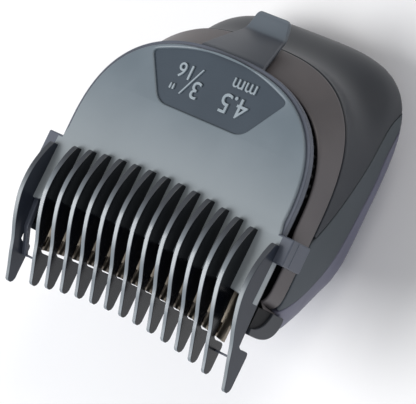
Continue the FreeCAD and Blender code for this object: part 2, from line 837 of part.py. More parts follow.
endcap_disc = rod("endcap_disc", "motor_radius", "endcap_thickness", "0", MOTOR_REAR, "motor_height", "y")
endcap_hole = rod(
    "endcap_hole", "bush_radius", "2 * endcap_thickness", "0", f"{MOTOR_REAR} - 0.5", "motor_height", "y"
)
keep("motor_endcap", cut("motor_endcap", endcap_disc, endcap_hole))

bushes = []
for label, start, long in (
    ("front", "(motor_front - bush_length)", "(bush_length + motor_wall)"),
    ("rear", MOTOR_REAR, "(endcap_thickness + 0.6)"),
):
    ring = rod(f"bush_ring_{label}", "bush_radius", long, "0", start, "motor_height", "y")
    bore = rod(
        f"bush_bore_{label}", "shaft_radius + running_clearance", f"{long} + 1", "0",
        f"{start} - 0.5", "motor_height", "y",
    )
    bushes.append(cut(f"bush_{label}", ring, bore))
keep("motor_bushes", group("motor_bushes", *bushes))

terminals = [
    box(f"terminal_{label}", "2.2", "2.6", "0.4", f"{side} * 5.5 - 1.1", f"{MOTOR_REAR} + endcap_thickness", "motor_height")
    for side, label in ((-1, "left"), (1, "right"))
]
keep("motor_terminals", group("motor_terminals", *terminals))

CAM_REAR = "(motor_front - bush_length - cam_gap)"
SHAFT_LENGTH = f"({MOTOR_REAR} + endcap_thickness + 0.4 - {CAM_REAR} + cam_length)"
keep(
    "motor_shaft",
    rod("motor_shaft", "shaft_radius", SHAFT_LENGTH, "0", f"{CAM_REAR} - cam_length", "motor_height", "y"),
)
rotor_core = rod(
    "rotor_core", "motor_radius - motor_wall - magnet_thickness - air_gap", "motor_length - 10", "0",
    "motor_front + 5", "motor_height", "y",
)
rotor_bore = rod("rotor_bore", "shaft_radius", "motor_length", "0", "motor_front + 1", "motor_height", "y")
keep("motor_rotor", cut("motor_rotor", rotor_core, rotor_bore))

cam_disc = rod("cam_disc", "cam_radius", "cam_length", "0", f"{CAM_REAR} - cam_length", "motor_height", "y")
cam_bore = rod(
    "cam_bore", "shaft_radius", "cam_length + 1", "0", f"{CAM_REAR} - cam_length", "motor_height", "y"
)
cam_pin = rod(
    "cam_pin", "cam_pin_radius", "cam_pin_length + 0.8", "0", f"{CAM_REAR} - cam_length - cam_pin_length",
    "motor_height + cam_throw", "y",
)
cam_blank = cut("cam_blank", cam_disc, cam_bore)
keep("eccentric_cam", cut("eccentric_cam", fuse("cam_and_pin", cam_blank, cam_pin),
                          rod("cam_relief", "shaft_radius", "cam_length", "0", f"{CAM_REAR} - cam_length",
                              "motor_height", "y")))

# Motor bracket: an upright plate on the chassis, screwed to the motor's front.
CHASSIS_TOP = "(chassis_height + chassis_thickness)"
bracket_body = padded(
    "motor_bracket_plate",
    "XZ_Plane",
    [
        ("-bracket_half", CHASSIS_TOP),
        ("bracket_half", CHASSIS_TOP),
        ("bracket_half", "motor_height"),
        ("motor_radius", "motor_height + motor_radius"),
        ("-motor_radius", "motor_height + motor_radius"),
        ("-bracket_half", "motor_height"),
    ],
    "bracket_thickness",
    "-motor_front",
)
bracket_tools = [
    rod(
        "bracket_bush_hole", "bush_radius", "4 * bracket_thickness", "0",
        "motor_front - 2 * bracket_thickness", "motor_height", "y",
    )
]
motor_screws = []
for side, label in ((-1, "left"), (1, "right")):
    across = f"{side} * motor_screw_offset"
    bracket_tools.append(
        rod(
            f"bracket_screw_hole_{label}", "screw_radius", "4 * bracket_thickness", across,
            "motor_front - 2 * bracket_thickness", "motor_height", "y",
        )
    )
    shank = rod(
        f"motor_screw_shank_{label}", "screw_radius", "bracket_thickness", across,
        "motor_front - bracket_thickness", "motor_height", "y",
    )
    head = rod(
        f"motor_screw_head_{label}", "screw_head_radius * 0.85", "1.1", across,
        "motor_front - bracket_thickness - 1.1", "motor_height", "y",
    )
    motor_screws.append(fuse(f"motor_screw_{label}", shank, head))
keep("motor_bracket", cut("motor_bracket", bracket_body, *bracket_tools))
keep("motor_screws", group("motor_screws", *motor_screws))

# ---------------------------------------------------------------- cells

CELL_HEIGHT = "(chassis_height + chassis_thickness + cradle_wall + cell_clearance + cell_radius)"
cell_tabs = []
for side, label in ((-1, "left"), (1, "right")):
    across = f"{side} * cell_x"
    can = rod(f"cell_can_{label}", "cell_radius", "cell_length - 1", across, "cell_front", CELL_HEIGHT, "y")
    tip = rod(
        f"cell_tip_{label}", "cell_radius * 0.35", "1", across, "cell_front + cell_length - 1", CELL_HEIGHT, "y"
    )
    keep(f"battery_cell_{label}", fuse(f"battery_cell_{label}", can, tip))
    trough = box(
        f"cradle_block_{label}", "2 * (cell_radius + cradle_wall)", "cell_length - 6",
        "cell_radius + cradle_wall", f"{across} - cell_radius - cradle_wall", "cell_front + 3", CHASSIS_TOP,
    )
    bed = rod(
        f"cradle_bed_{label}", "cell_radius + cell_clearance", "cell_length", across, "cell_front",
        CELL_HEIGHT, "y",
    )
    keep(f"battery_cradle_{label}", cut(f"battery_cradle_{label}", trough, bed))
    for end, start in (("front", "cell_front - cell_tab"), ("rear", "cell_front + cell_length")):
        cell_tabs.append(
            box(
                f"cell_tab_{end}_{label}", "cell_radius", "cell_tab", "cell_radius",
                f"{across} - cell_radius / 2", start, f"{CELL_HEIGHT} - cell_radius / 2",
            )
        )
keep("battery_tabs", group("battery_tabs", *cell_tabs))

# ---------------------------------------------------------------- electronics

board = padded(
    "circuit_board",
    "XY_Plane",
    [
        ("-board_half", "board_front"),
        ("board_half", "board_front"),
        ("board_half", "board_rear - 3"),
        ("board_half - 3", "board_rear"),
        ("3 - board_half", "board_rear"),
        ("-board_half", "board_rear - 3"),
    ],
    "board_thickness",
    "board_height",
)
keep("circuit_board", board)
BOARD_TOP = "(board_height + board_thickness)"
board_parts = [
    box("charge_chip", "6", "5", "1.1", "-11", "8", BOARD_TOP),
    box("control_chip", "5", "5", "1.0", "6", "2", BOARD_TOP),
    box("choke", "4", "4", "1.2", "7", "11", BOARD_TOP),
    box("capacitor", "3.2", "1.6", "1.0", "-10", "1", BOARD_TOP),
]
keep("board_components", group("board_components", *board_parts))

# Power button, flush in the palm cover, and the switch that it presses.
ring_outer = rod("ring_outer", "button_radius + ring_width", "wall", "0", "button_y", "0.3")
ring_bore = rod("ring_bore", "button_radius + button_clearance", "2 * wall", "0", "button_y", "-wall / 2")
keep("button_ring", cut("button_ring", ring_outer, ring_bore))

FLANGE_BOTTOM = "(wall + 0.3 + 0.05)"
SWITCH_BOTTOM = "(board_height - switch_height)"
button_cap = rod("button_cap", "button_radius", f"{FLANGE_BOTTOM} - button_recess", "0", "button_y", "button_recess")
button_flange = rod("button_flange", "button_radius + 0.9", "button_flange", "0", "button_y", FLANGE_BOTTOM)
button_stem = rod(
    "button_stem", "plunger_radius", f"{SWITCH_BOTTOM} - 0.7 - {FLANGE_BOTTOM} - button_flange", "0", "button_y",
    f"{FLANGE_BOTTOM} + button_flange",
)
keep("power_button", fuse("power_button", button_cap, button_flange, button_stem))
plunger = rod("switch_plunger", "plunger_radius", "0.7 + 0.3", "0", "button_y", f"{SWITCH_BOTTOM} - 0.7")
keep("switch_plunger", plunger)
switch_block = box(
    "switch_block", "switch_size", "switch_size", "switch_height", "-switch_size / 2",
    "button_y - switch_size / 2", SWITCH_BOTTOM,
)
switch_well = rod(
    "switch_well", "plunger_radius + 0.08", "0.3 + button_travel + 0.05", "0", "button_y", SWITCH_BOTTOM
)
keep("tact_switch", cut("tact_switch", switch_block, switch_well))

led_body = box("status_led", "2", "2", "1.2", "-1", "led_y - 1", "board_height - 1.2")
keep("status_led", led_body)
keep(
    "led_lens",
    rod("led_lens", "led_radius", "board_height - 1.2 - 0.4", "0", "led_y", "0.4"),
)

# Charging socket: a barrel socket in the rear of the palm cover.
SOCKET_MOUTH = "(body_rear - socket_setback)"
socket_body = rod(
    "socket_body", "socket_radius", f"{SOCKET_MOUTH} - socket_front - 1.2", "0", "socket_front", "socket_height", "y"
)
socket_bore = rod(
    "socket_bore", "socket_bore", "6.5", "0", f"{SOCKET_MOUTH} - 1.2 - 6.5", "socket_height", "y"
)
keep("charge_socket", cut("charge_socket", socket_body, socket_bore))

# Housing screws, driven in from the palm side.
housing_screws = []
for x_name, y_name, row_label in (
    ("screw_rear_x", "screw_rear_y", "rear"),
    ("screw_front_x", "screw_front_y", "front"),
):
    for side, label in ((-1, "left"), (1, "right")):
        head = rod(
            f"screw_head_{row_label}_{label}", "screw_head_radius", "screw_head_height",
            f"{side} * {x_name}", y_name, "screw_recess - screw_head_height",
        )
        shank = rod(
            f"screw_shank_{row_label}_{label}", "screw_radius", "chassis_height + chassis_thickness - screw_recess",
            f"{side} * {x_name}", y_name, "screw_recess",
        )
        housing_screws.append(fuse(f"housing_screw_{row_label}_{label}", head, shank))
keep("housing_screws", group("housing_screws", *housing_screws))


# ---------------------------------------------------------------- guide comb

PLATE_BOTTOM = "(plate_top - plate_thickness)"
plate_top = mm("plate_top")
plate_bottom = mm(PLATE_BOTTOM)


def tooth(x, nub_line):
    """One upright tooth: a ridge curve above, a nub that wraps the blade's points below."""
    root = tip_line(x, mm("tooth_root"), mm("tooth_root_radius"))
    tip = tip_line(x, mm("tooth_tip"), mm("tooth_tip_radius"))
    crest, drop = mm("tooth_crest"), mm("tooth_drop")
    length = root - tip
    left = x - mm("tooth_thickness / 2")

    def spot(y, up):
        return point(left, y, plate_top + up)

    ridge = [spot(root, mm("tooth_blunt"))]
    ridge += [spot(root - length * share, crest * up) for share, up in TOOTH_RIDGE]
    ridge.append(spot(tip + 0.5, -drop))
    curve = Part.BSplineCurve()
    curve.interpolate(ridge)
    front_low = spot(tip + 1.9, -drop - 2.5)
    tip_arc = Part.Arc(ridge[-1], spot(tip + 0.15, -drop - 1.3), front_low)
    under = [
        front_low,
        spot(nub_line - 0.6, -drop - 1.5),
        spot(nub_line, -drop + 1.2),
        spot(nub_line + 0.5, -mm("blade_drop") + 0.8),
        spot(mm("plate_front_corner"), -mm("plate_thickness")),
        spot(root - 2.5, -mm("plate_thickness")),
        spot(root, -0.4),
        ridge[0],
    ]
    wire = Part.Wire([curve.toShape(), tip_arc.toShape()] + Part.makePolygon(under).Edges)
    return Part.Face(wire).extrude(point(mm("tooth_thickness"), 0, 0))


def nub_line(x):
    clear = mm("tooth_nub")
    return tip_line(x, mm("blade_tip"), mm("blade_tip_radius")) - clear


flank = mm("band_half + flank_step")
outer_tooth_x = flank - mm("tooth_thickness / 2")
rear_plate = slab(deck_outline(0.0, plate_bottom, mm("ear_front")), mm("plate_thickness"))
corner = mm("plate_front_corner")
front_arc = Part.Arc(
    point(-flank, corner, plate_bottom), point(0, mm("plate_front"), plate_bottom), point(flank, corner, plate_bottom)
)
ear_front = mm("ear_front")
front_corners = [point(flank, corner, plate_bottom), point(flank, ear_front, plate_bottom)]
front_corners += [point(-flank, ear_front, plate_bottom), point(-flank, corner, plate_bottom)]
front_wire = Part.Wire([front_arc.toShape()] + Part.makePolygon(front_corners).Edges)
comb_shape = rear_plate.fuse(slab(front_wire, mm("plate_thickness")))

tooth_spots = [number * mm("tooth_pitch") for number in TOOTH_NUMBERS]
for x in tooth_spots:
    comb_shape = comb_shape.fuse(tooth(x, nub_line(x)))
for x in (-outer_tooth_x, outer_tooth_x):
    comb_shape = comb_shape.fuse(tooth(x, mm("outer_nub")))

for side in (-1, 1):
    # ear: a clip that grips the head band from outside
    inner = mm("band_half + band_flare + ear_clearance")
    ear_length = mm("ear_rear - ear_front")
    reach = mm("ear_thickness")
    lower = Part.makeBox(
        reach, ear_length, mm("ear_height"), point(inner, ear_front, plate_top - mm("ear_height"))
    )
    bridge_start = mm("band_half - 2")
    upper = Part.makeBox(
        inner + reach + 0.2 - bridge_start,
        ear_length,
        mm("plate_thickness"),
        point(bridge_start, ear_front, plate_bottom),
    )
    # bar and brace that stiffen the outer tooth
    last = mm("tooth_pitch") * max(TOOTH_NUMBERS)
    bar = Part.makeBox(
        outer_tooth_x - last,
        mm("bar_thickness"),
        mm("bar_height"),
        point(last, mm("bar_y"), plate_top - mm("bar_drop")),
    )
    brace_x = outer_tooth_x - mm("tooth_thickness / 2 + brace_width")
    low_line = plate_top - mm("blade_drop") + 0.9
    brace_corners = [
        point(brace_x, corner + 0.5, plate_bottom),
        point(brace_x, mm("cap_front") - 1.5, low_line),
        point(brace_x, mm("bar_y"), plate_top - mm("bar_drop")),
        point(brace_x, mm("bar_y"), plate_top - mm("bar_drop - bar_height")),
        point(brace_x, mm("cap_front") - 1.5, low_line + 1.3),
        point(brace_x, corner + 0.5, plate_bottom + 1.6),
    ]
    brace = Part.Face(Part.makePolygon(brace_corners + brace_corners[:1]))
    brace = brace.extrude(point(mm("brace_width + 0.2"), 0, 0))
    for piece in (lower, upper, bar, brace):
        if side < 0:
            piece = piece.mirror(point(0, 0, 0), point(1, 0, 0))
        comb_shape = comb_shape.fuse(piece)


def cross_section(half, y, top):
    thick = mm("strap_thickness")
    corners = [
        point(-half, y, top), point(half, y, top), point(half, y, top - thick), point(-half, y, top - thick)
    ]
    return Part.makePolygon(corners + corners[:1])


strap_top = plate_bottom + mm("strap_thickness")
strap_start = mm("band_rear")
tab_top = plate_top - mm("knee_drop")
strap = Part.makeLoft(
    [
        cross_section(mm("strap_half"), strap_start - 2.5, strap_top),
        cross_section(mm("strap_half"), strap_start, strap_top),
        cross_section(mm("knee_half"), mm("knee_y"), tab_top),
        cross_section(mm("tab_half"), mm("knee_y + tab_length"), tab_top),
    ],
    True,
    True,
)
comb_shape = comb_shape.fuse(strap)


def recess_outline(height):
    """A shield-like recess: arched rear edge, slanted sides, straight front edge."""
    side, side_y = mm("recess_side"), mm("recess_side_y")
    front, front_half = mm("recess_front"), mm("recess_front_half")
    arch = Part.Arc(point(side, side_y, height), point(0, mm("recess_rear"), height), point(-side, side_y, height))
    corners = [point(-side, side_y, height), point(-front_half, front, height)]
    corners += [point(front_half, front, height), point(side, side_y, height)]
    return Part.Wire([arch.toShape()] + Part.makePolygon(corners).Edges)


recess = slab(recess_outline(plate_top - mm("recess_depth")), mm("2 * recess_depth"))
comb_shape = comb_shape.cut(recess).removeSplitter()
keep("guide_comb", feature("guide_comb", comb_shape))

# ---------------------------------------------------------------- check and write

doc.recompute()
faults = [item.Name for item in doc.Objects if "Invalid" in item.State or "Error" in item.State]
for name, item in nodes.items():
    if item.Shape.isNull() or not item.Shape.isValid() or not item.Shape.Solids:
        faults.append(name)
if faults:
    raise SystemExit("not built: " + ", ".join(faults))

os.makedirs("parts", exist_ok=True)
for name, item in nodes.items():
    item.Shape.exportStep(f"parts/{name}.step")
    box_size = item.Shape.BoundBox
    print(
        f"{name:22s} {len(item.Shape.Solids):2d} solids {item.Shape.Volume:10.1f} mm3"
        f"  x {box_size.XMin:7.2f} {box_size.XMax:7.2f}  y {box_size.YMin:7.2f} {box_size.YMax:7.2f}"
        f"  z {box_size.ZMin:7.2f} {box_size.ZMax:7.2f}"
    )
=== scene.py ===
# %% [markdown]
# # A palm-size hair clipper
#
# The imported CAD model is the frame: its nodes keep their places, and the pieces
# made here ride on its bodies. The shells, the band round the head, the chin
# and the guide comb are modelled again with soft edges; the blades, drive,
# cells and board inside are the CAD nodes themselves with real finishes.
#
# Shapes are given in millimetres, and `spot` or `MM` turns them into metres.
# Finishes, lights and the camera are given in metres. The frame has +Z out of
# the comb plate and +Y towards the thumb tab.

# %% Load the frame
import json
import math

import bmesh
import bpy
from mathutils import Matrix, Vector


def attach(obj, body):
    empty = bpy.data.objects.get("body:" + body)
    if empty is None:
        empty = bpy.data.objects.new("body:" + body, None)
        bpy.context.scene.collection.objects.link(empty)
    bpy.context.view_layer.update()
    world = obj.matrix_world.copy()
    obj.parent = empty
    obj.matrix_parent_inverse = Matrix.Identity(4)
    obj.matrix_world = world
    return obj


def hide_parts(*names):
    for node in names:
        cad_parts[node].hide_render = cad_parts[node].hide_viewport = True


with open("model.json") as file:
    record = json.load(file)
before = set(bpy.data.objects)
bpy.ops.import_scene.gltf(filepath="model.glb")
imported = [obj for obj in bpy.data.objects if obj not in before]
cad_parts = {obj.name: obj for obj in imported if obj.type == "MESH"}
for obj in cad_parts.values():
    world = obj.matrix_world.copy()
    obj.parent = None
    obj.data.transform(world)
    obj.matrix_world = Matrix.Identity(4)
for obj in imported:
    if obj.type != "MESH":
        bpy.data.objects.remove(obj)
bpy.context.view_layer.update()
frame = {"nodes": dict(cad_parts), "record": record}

nodes = frame["nodes"]
slot_of = {row["node"]: row["material_slot"] for row in frame["record"]["subparts"]}

# %% [markdown]
# ## Finishes
#
# Moulded plastic and ground steel are never one flat colour: the tone drifts a
# little, the gloss wanders, and the tool leaves a fine grain. An image could be
# wrapped round each piece, but noise made by shader nodes needs no unwrapping
# and stays sharp at any distance. So one recipe makes every finish: two close
# tones clouded together, a wandering roughness and a fine bump. All of it sits
# in object coordinates, so a finish does not swim when a piece moves.

# %% Shader tools


def add(tree, kind, settings=None, sockets=None):
    """Adds one node; a socket is given either a value or another node's output."""
    node = tree.nodes.new(kind)
    for name, value in (settings or {}).items():
        setattr(node, name, value)
    for name, value in (sockets or {}).items():
        if isinstance(value, bpy.types.NodeSocket):
            tree.links.new(value, node.inputs[name])
        else:
            node.inputs[name].default_value = value
    return node


def linear(code):
    """A six-digit screen colour as linear red, green, blue and alpha."""
    parts = [int(code[at : at + 2], 16) / 255 for at in (0, 2, 4)]
    return [p / 12.92 if p <= 0.04045 else ((p + 0.055) / 1.055) ** 2.4 for p in parts] + [1.0]


def mixed(tree, share, first, second):
    node = add(tree, "ShaderNodeMix", {"data_type": "RGBA"})
    for index, value in ((0, share), (6, first), (7, second)):
        if isinstance(value, bpy.types.NodeSocket):
            tree.links.new(value, node.inputs[index])
        else:
            node.inputs[index].default_value = value
    return node.outputs[2]


def ramp(tree, value, low, high, start=0.0, end=1.0):
    sockets = {"Value": value, "From Min": low, "From Max": high, "To Min": start, "To Max": end}
    return add(tree, "ShaderNodeMapRange", {"interpolation_type": "SMOOTHSTEP"}, sockets).outputs["Result"]


CLOUD_SCALE = 55.0
GRAIN_DEPTH = 0.00004
# How far sideways a face must point to start, and then to fully take, the painted flank shade.
FLANK_SHADE_FROM, FLANK_SHADE_FULL = 0.55, 0.9


def finish(name, light, dark, rough, grain=0.15, size=2600.0, **more):
    """A procedural finish; more holds metallic, stretch, flank (painted shade on faces that point sideways),
    slope (a tone that changes along Y), gloss, coat and clear.
    """
    material = bpy.data.materials.new(name)
    material.use_nodes = True
    tree = material.node_tree
    shader = tree.nodes["Principled BSDF"]
    place = add(tree, "ShaderNodeTexCoord").outputs["Object"]
    drawn_out = {"Vector": place, "Scale": more.get("stretch", (1, 1, 1))}
    grained = add(tree, "ShaderNodeMapping", sockets=drawn_out).outputs["Vector"]
    cloudy = {"Vector": place, "Scale": CLOUD_SCALE, "Detail": 4.0}
    cloud = add(tree, "ShaderNodeTexNoise", sockets=cloudy).outputs["Fac"]
    speckled = {"Vector": grained, "Scale": size, "Detail": 2.0}
    speck = add(tree, "ShaderNodeTexNoise", sockets=speckled).outputs["Fac"]
    tone = mixed(tree, ramp(tree, cloud, 0.3, 0.7), linear(dark), linear(light))
    # The slope tone changes along Y: a painted reflection on the plate, painted shade near the teeth's roots,
    # and paler past the knee on the strap.
    if "slope" in more:
        far_code, start, end = more["slope"]
        along = add(tree, "ShaderNodeSeparateXYZ", sockets={"Vector": place}).outputs["Y"]
        tone = mixed(tree, ramp(tree, along, start, end), tone, linear(far_code))
    # Painted shade: faces that point sideways along X are mixed towards the darker flank colour.
    if "flank" in more:
        normal = add(tree, "ShaderNodeNewGeometry").outputs["Normal"]
        across = add(tree, "ShaderNodeSeparateXYZ", sockets={"Vector": normal}).outputs["X"]
        side = add(tree, "ShaderNodeMath", {"operation": "ABSOLUTE"}, {0: across}).outputs["Value"]
        tone = mixed(tree, ramp(tree, side, FLANK_SHADE_FROM, FLANK_SHADE_FULL), tone, linear(more["flank"]))
    bumpy = {"Height": speck, "Strength": grain, "Distance": GRAIN_DEPTH}
    bump = add(tree, "ShaderNodeBump", sockets=bumpy)
    gloss_drift = ramp(tree, cloud, 0.2, 0.8, rough * 0.9, rough * 1.1)
    tree.links.new(tone, shader.inputs["Base Color"])
    tree.links.new(gloss_drift, shader.inputs["Roughness"])
    tree.links.new(bump.outputs["Normal"], shader.inputs["Normal"])
    shader.inputs["Metallic"].default_value = more.get("metallic", 0.0)
    shader.inputs["Specular IOR Level"].default_value = more.get("gloss", 0.5)
    shader.inputs["Coat Weight"].default_value = more.get("coat", 0.0)
    shader.inputs["Transmission Weight"].default_value = more.get("clear", 0.0)
    return material


# %% [markdown]
# The shells are moulded plastic with a satin skin, the side grips a soft
# elastomer, and the blades are ground steel, so their grain is drawn out along
# Y. A finish per node could be set by hand. One finish for each material slot of
# the record is shorter, and keeps two parts of one material alike.
#
# The guide comb is one moulding but does not look like one tone, and that is
# painted light: the plate goes paler towards the teeth as a painted reflection,
# and the teeth get painted shade on their flanks and near their roots. The slope
# and flank settings paint this by position and by the way a face points.

# %% Real finishes
finishes = {
    # The plate's slope is a painted reflection: the plate goes paler towards the teeth.
    "comb_plastic": finish("comb_satin_nylon_painted_reflection", "6f7a82", "68737b", 0.36, slope=("8f969a", 0.014, -0.02)),
    "bezel_plastic": finish("band_satin_abs", "5b5657", "514d4f", 0.42),
    "black_plastic": finish("black_moulded_abs", "0c0d11", "08090c", 0.55, gloss=0.25),
    "housing_plastic": finish("shoulder_satin_abs", "2a2e35", "24282f", 0.42),
    "grip_rubber": finish("grip_soft_elastomer", "464c52", "3f464b", 0.62, grain=0.3, size=3400.0),
    "palm_plastic": finish("palm_satin_abs", "656577", "5d5d6e", 0.45),
    "blade_steel": finish(
        "blade_ground_steel", "837b70", "6b655c", 0.3,
        grain=0.5, size=900.0, metallic=1.0, stretch=(6, 0.4, 6),
    ),
    "screw_steel": finish("screw_zinc_plate", "b9bcc0", "a6a9ad", 0.3, metallic=1.0),
    "spring_steel": finish("spring_bright_steel", "c4c2bb", "b2b0a9", 0.22, metallic=1.0),
    "motor_steel": finish("motor_zinc_plate", "a9acb0", "989b9f", 0.35, metallic=1.0),
    "magnet": finish("magnet_sintered_ferrite", "2c2c2e", "222224", 0.7, grain=0.5),
    "brass": finish("bush_sintered_bronze", "b08d4a", "9c7c40", 0.4, metallic=1.0),
    "drive_plastic": finish("drive_natural_acetal", "e2e0d6", "d8d6cc", 0.35),
    "cell_wrap": finish("cell_shrink_sleeve", "1e6f4c", "1a6445", 0.3, coat=0.3),
    "board": finish("board_solder_mask", "14602f", "105428", 0.35, coat=0.3),
    "chip_epoxy": finish("chip_moulded_epoxy", "26262a", "1e1e22", 0.6),
    "trim_chrome": finish("trim_plated_chrome", "dfe1e4", "d2d4d7", 0.12, grain=0.02, metallic=1.0),
    "button_rubber": finish("button_moulded_silicone", "2b2c30", "232428", 0.6, grain=0.3),
    "led": finish("led_clear_epoxy", "efeedd", "e6e5d4", 0.2),
    "lens": finish("lens_clear_acrylic", "e6f2ea", "dcebe2", 0.08, grain=0.02, clear=0.7),
}
comb_finishes = {
    # Inner teeth: the flank colour is painted shade on their sides, and the slope colour is painted shade
    # near their roots.
    "tooth": finish(
        "tooth_satin_nylon_painted_shade", "7f868c", "767d83", 0.22,
        flank="080b12", gloss=0.5, slope=("42454a", -0.023, -0.014),
    ),
    "ear": finish("ear_satin_nylon", "535864", "4b505b", 0.4),
    # Outer teeth: the flank colour is painted shade on their sides, and the slope colour is painted shade
    # near their roots.
    "outer_tooth": finish(
        "outer_tooth_satin_nylon", "7b8287", "72797e", 0.3,
        flank="2c313b", gloss=0.35, slope=("474a4f", -0.027, -0.018),
    ),
    "strap": finish("strap_satin_nylon", "3f444d", "393e46", 0.38, slope=("5a626a", 0.0302, 0.0312)),
    "recess": finish("recess_eroded_nylon", "303d49", "2a3743", 0.5, grain=0.35),
    "mark": finish("mark_polished_nylon", "9aa5ac", "909ba2", 0.25),
}

for name, item in nodes.items():
    item.data.materials.clear()
    item.data.materials.append(finishes[slot_of[name]])
print(len(finishes) + len(comb_finishes), "finishes made")

# %% [markdown]
# ## Mesh tools
#
# The real pieces are mouldings and pressings: flat ones with rounded edges, and
# thin shells. Subdivision surfaces could give both, but their edges wander when
# a size changes. Here a flat-sided piece is an outline pushed along one axis
# with its edges rounded, and a shell is a sheet: rows of points laid over the
# body's form. Both end as plain meshes at the origin.

# %% Placing tools
MM = 0.001


def spot(x, y, z):
    return Vector((x, y, z)) * MM


def in_scene(name, data):
    item = bpy.data.objects.new(name, data)
    bpy.context.scene.collection.objects.link(item)
    return item


def made(name, mesh, material, body, replaced=()):
    """Puts a finished mesh in the scene and lets it ride on a body."""
    item = in_scene(name, mesh)
    mesh.materials.clear()
    mesh.materials.append(material)
    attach(item, body)
    if replaced:
        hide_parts(*replaced)
    return item


def baked(item):
    """Applies an object's modifiers by keeping the mesh they give."""
    bpy.context.view_layer.update()
    graph = bpy.context.evaluated_depsgraph_get()
    mesh = bpy.data.meshes.new_from_object(item.evaluated_get(graph))
    old = item.data
    item.modifiers.clear()
    item.data = mesh
    if old.users == 0:
        bpy.data.meshes.remove(old)
    return item


def as_mesh(name, data):
    """The mesh that a curve or a text makes."""
    item = in_scene(name, data)
    bpy.context.view_layer.update()
    graph = bpy.context.evaluated_depsgraph_get()
    mesh = bpy.data.meshes.new_from_object(item.evaluated_get(graph))
    bpy.data.objects.remove(item)
    return mesh


# %% Shaping tools
SAME_SPOT = 0.0000005


def cleaned(mesh, sharp=math.radians(40)):
    """Merges doubled points, turns faces outwards and keeps the sharper edges crisp."""
    work = bmesh.new()
    work.from_mesh(mesh)
    bmesh.ops.remove_doubles(work, verts=work.verts, dist=SAME_SPOT)
    bmesh.ops.recalc_face_normals(work, faces=work.faces)
    work.to_mesh(mesh)
    work.free()
    mesh.shade_smooth()
    mesh.set_sharp_from_angle(angle=sharp)
    return mesh


def meshed(name, points, faces):
    """A clean mesh from points in millimetres and the faces between them."""
    mesh = bpy.data.meshes.new(name)
    mesh.from_pydata([spot(*p) for p in points], [], faces)
    return cleaned(mesh)


def rounded(mesh, radius, segments=3):
    """The same mesh with its sharp edges rounded off."""
    item = in_scene("rounding", mesh)
    bevel = item.modifiers.new("bevel", "BEVEL")
    bevel.width = radius * MM
    bevel.segments = segments
    bevel.limit_method = "ANGLE"
    bevel.angle_limit = math.radians(28)
    bevel.harden_normals = True
    bevel.use_clamp_overlap = True
    baked(item)
    result = item.data
    bpy.data.objects.remove(item)
    return result


AXES = {
    "x": lambda u, v, w: (w, u, v),
    "y": lambda u, v, w: (u, w, v),
    "z": lambda u, v, w: (u, v, w),
}


def pushed(name, outline, low, high, axis, radius, segments=3):
    """An outline pushed along an axis from low to high, with rounded edges."""
    count = len(outline)
    turn = AXES[axis]
    points = [turn(u, v, low) for u, v in outline] + [turn(u, v, high) for u, v in outline]
    faces = [list(range(count))[::-1], list(range(count, 2 * count))]
    faces += [[n, (n + 1) % count, (n + 1) % count + count, n + count] for n in range(count)]
    return rounded(meshed(name, points, faces), radius, segments)


def sheet(name, rows, closed=False, caps=False):
    """A sheet through rows of points; closed joins each row's ends."""
    wide = len(rows[0])
    points = [p for row in rows for p in row]
    faces = []
    for r in range(len(rows) - 1):
        for c in range(wide if closed else wide - 1):
            d = (c + 1) % wide
            faces.append([r * wide + c, r * wide + d, (r + 1) * wide + d, (r + 1) * wide + c])
    if caps:
        faces.append(list(range(wide)))
        faces.append(list(range((len(rows) - 1) * wide, len(rows) * wide)))
    return meshed(name, points, faces)


def joined(name, meshes):
    """Several meshes as one."""
    work = bmesh.new()
    for mesh in meshes:
        work.from_mesh(mesh)
    result = bpy.data.meshes.new(name)
    work.to_mesh(result)
    work.free()
    return result


def between(p, q, r, s, t):
    """A smooth curve's value t of the way from q to r; p and s are their neighbours."""
    return 0.5 * (2 * q + (r - p) * t + (2 * p - 5 * q + 4 * r - s) * t**2 + (3 * q - p - 3 * r + s) * t**3)


def curve_through(spots, steps=12):
    """A smooth line through a few spots, each with the same number of values."""
    ends = [spots[0]] + list(spots) + [spots[-1]]
    line = []
    for n in range(1, len(ends) - 2):
        for k in range(steps):
            line.append(tuple(between(*four, k / steps) for four in zip(*ends[n - 1 : n + 3])))
    return line + [spots[-1]]


print("shaping tools ready, outlines push along", ", ".join(AXES))

# %% [markdown]
# ## The body's form
#
# The real body is a pebble: a flat patch that it rests on, a belly, shoulders
# that draw in to the band, and a nose that slopes up and forwards to the blades.
# It could be sculpted, but then no two shells would share one surface. Instead
# one formula gives the skin at any height, as a rounded rectangle in plan whose
# half width, rear, front, waist and roundness go from one named section to the
# next. Every shell below is cut from it, so neighbours always line up.

# %% Sections and skin
BAND_LOW, BAND_HEIGHT, PLATE_LOW, PLATE_TOP = 28.8, 7.0, 38.0, 40.5
BAND_TOP = BAND_LOW + BAND_HEIGHT
WIDEST, NOSE = 10.5, 21.9
NOSE_TAPER, NOSE_TAPER_FROM, NOSE_TAPER_DEPTH = 0.002, -9.0, 9.2

# Each section: half width, rear, front, waist, rear roundness, front roundness.
BAND_RIM = (33.75, 22.5, -26.55, -6.75, 2.55, 14.0)
BAND_FOOT = (34.4, 29.4, -26.55, -8.0, 2.9, 14.0)
BELLY = (32.8, 38.0, -30.9, 4.0, 3.6, 13.0)
PALM_PATCH = (13.5, 32.0, -8.0, 4.0, 2.4, 2.4)


def mix(low, high, share):
    return low + (high - low) * share


def blended(first, second, share):
    """One section part of the way to another."""
    return [mix(low, high, share) for low, high in zip(first, second)]


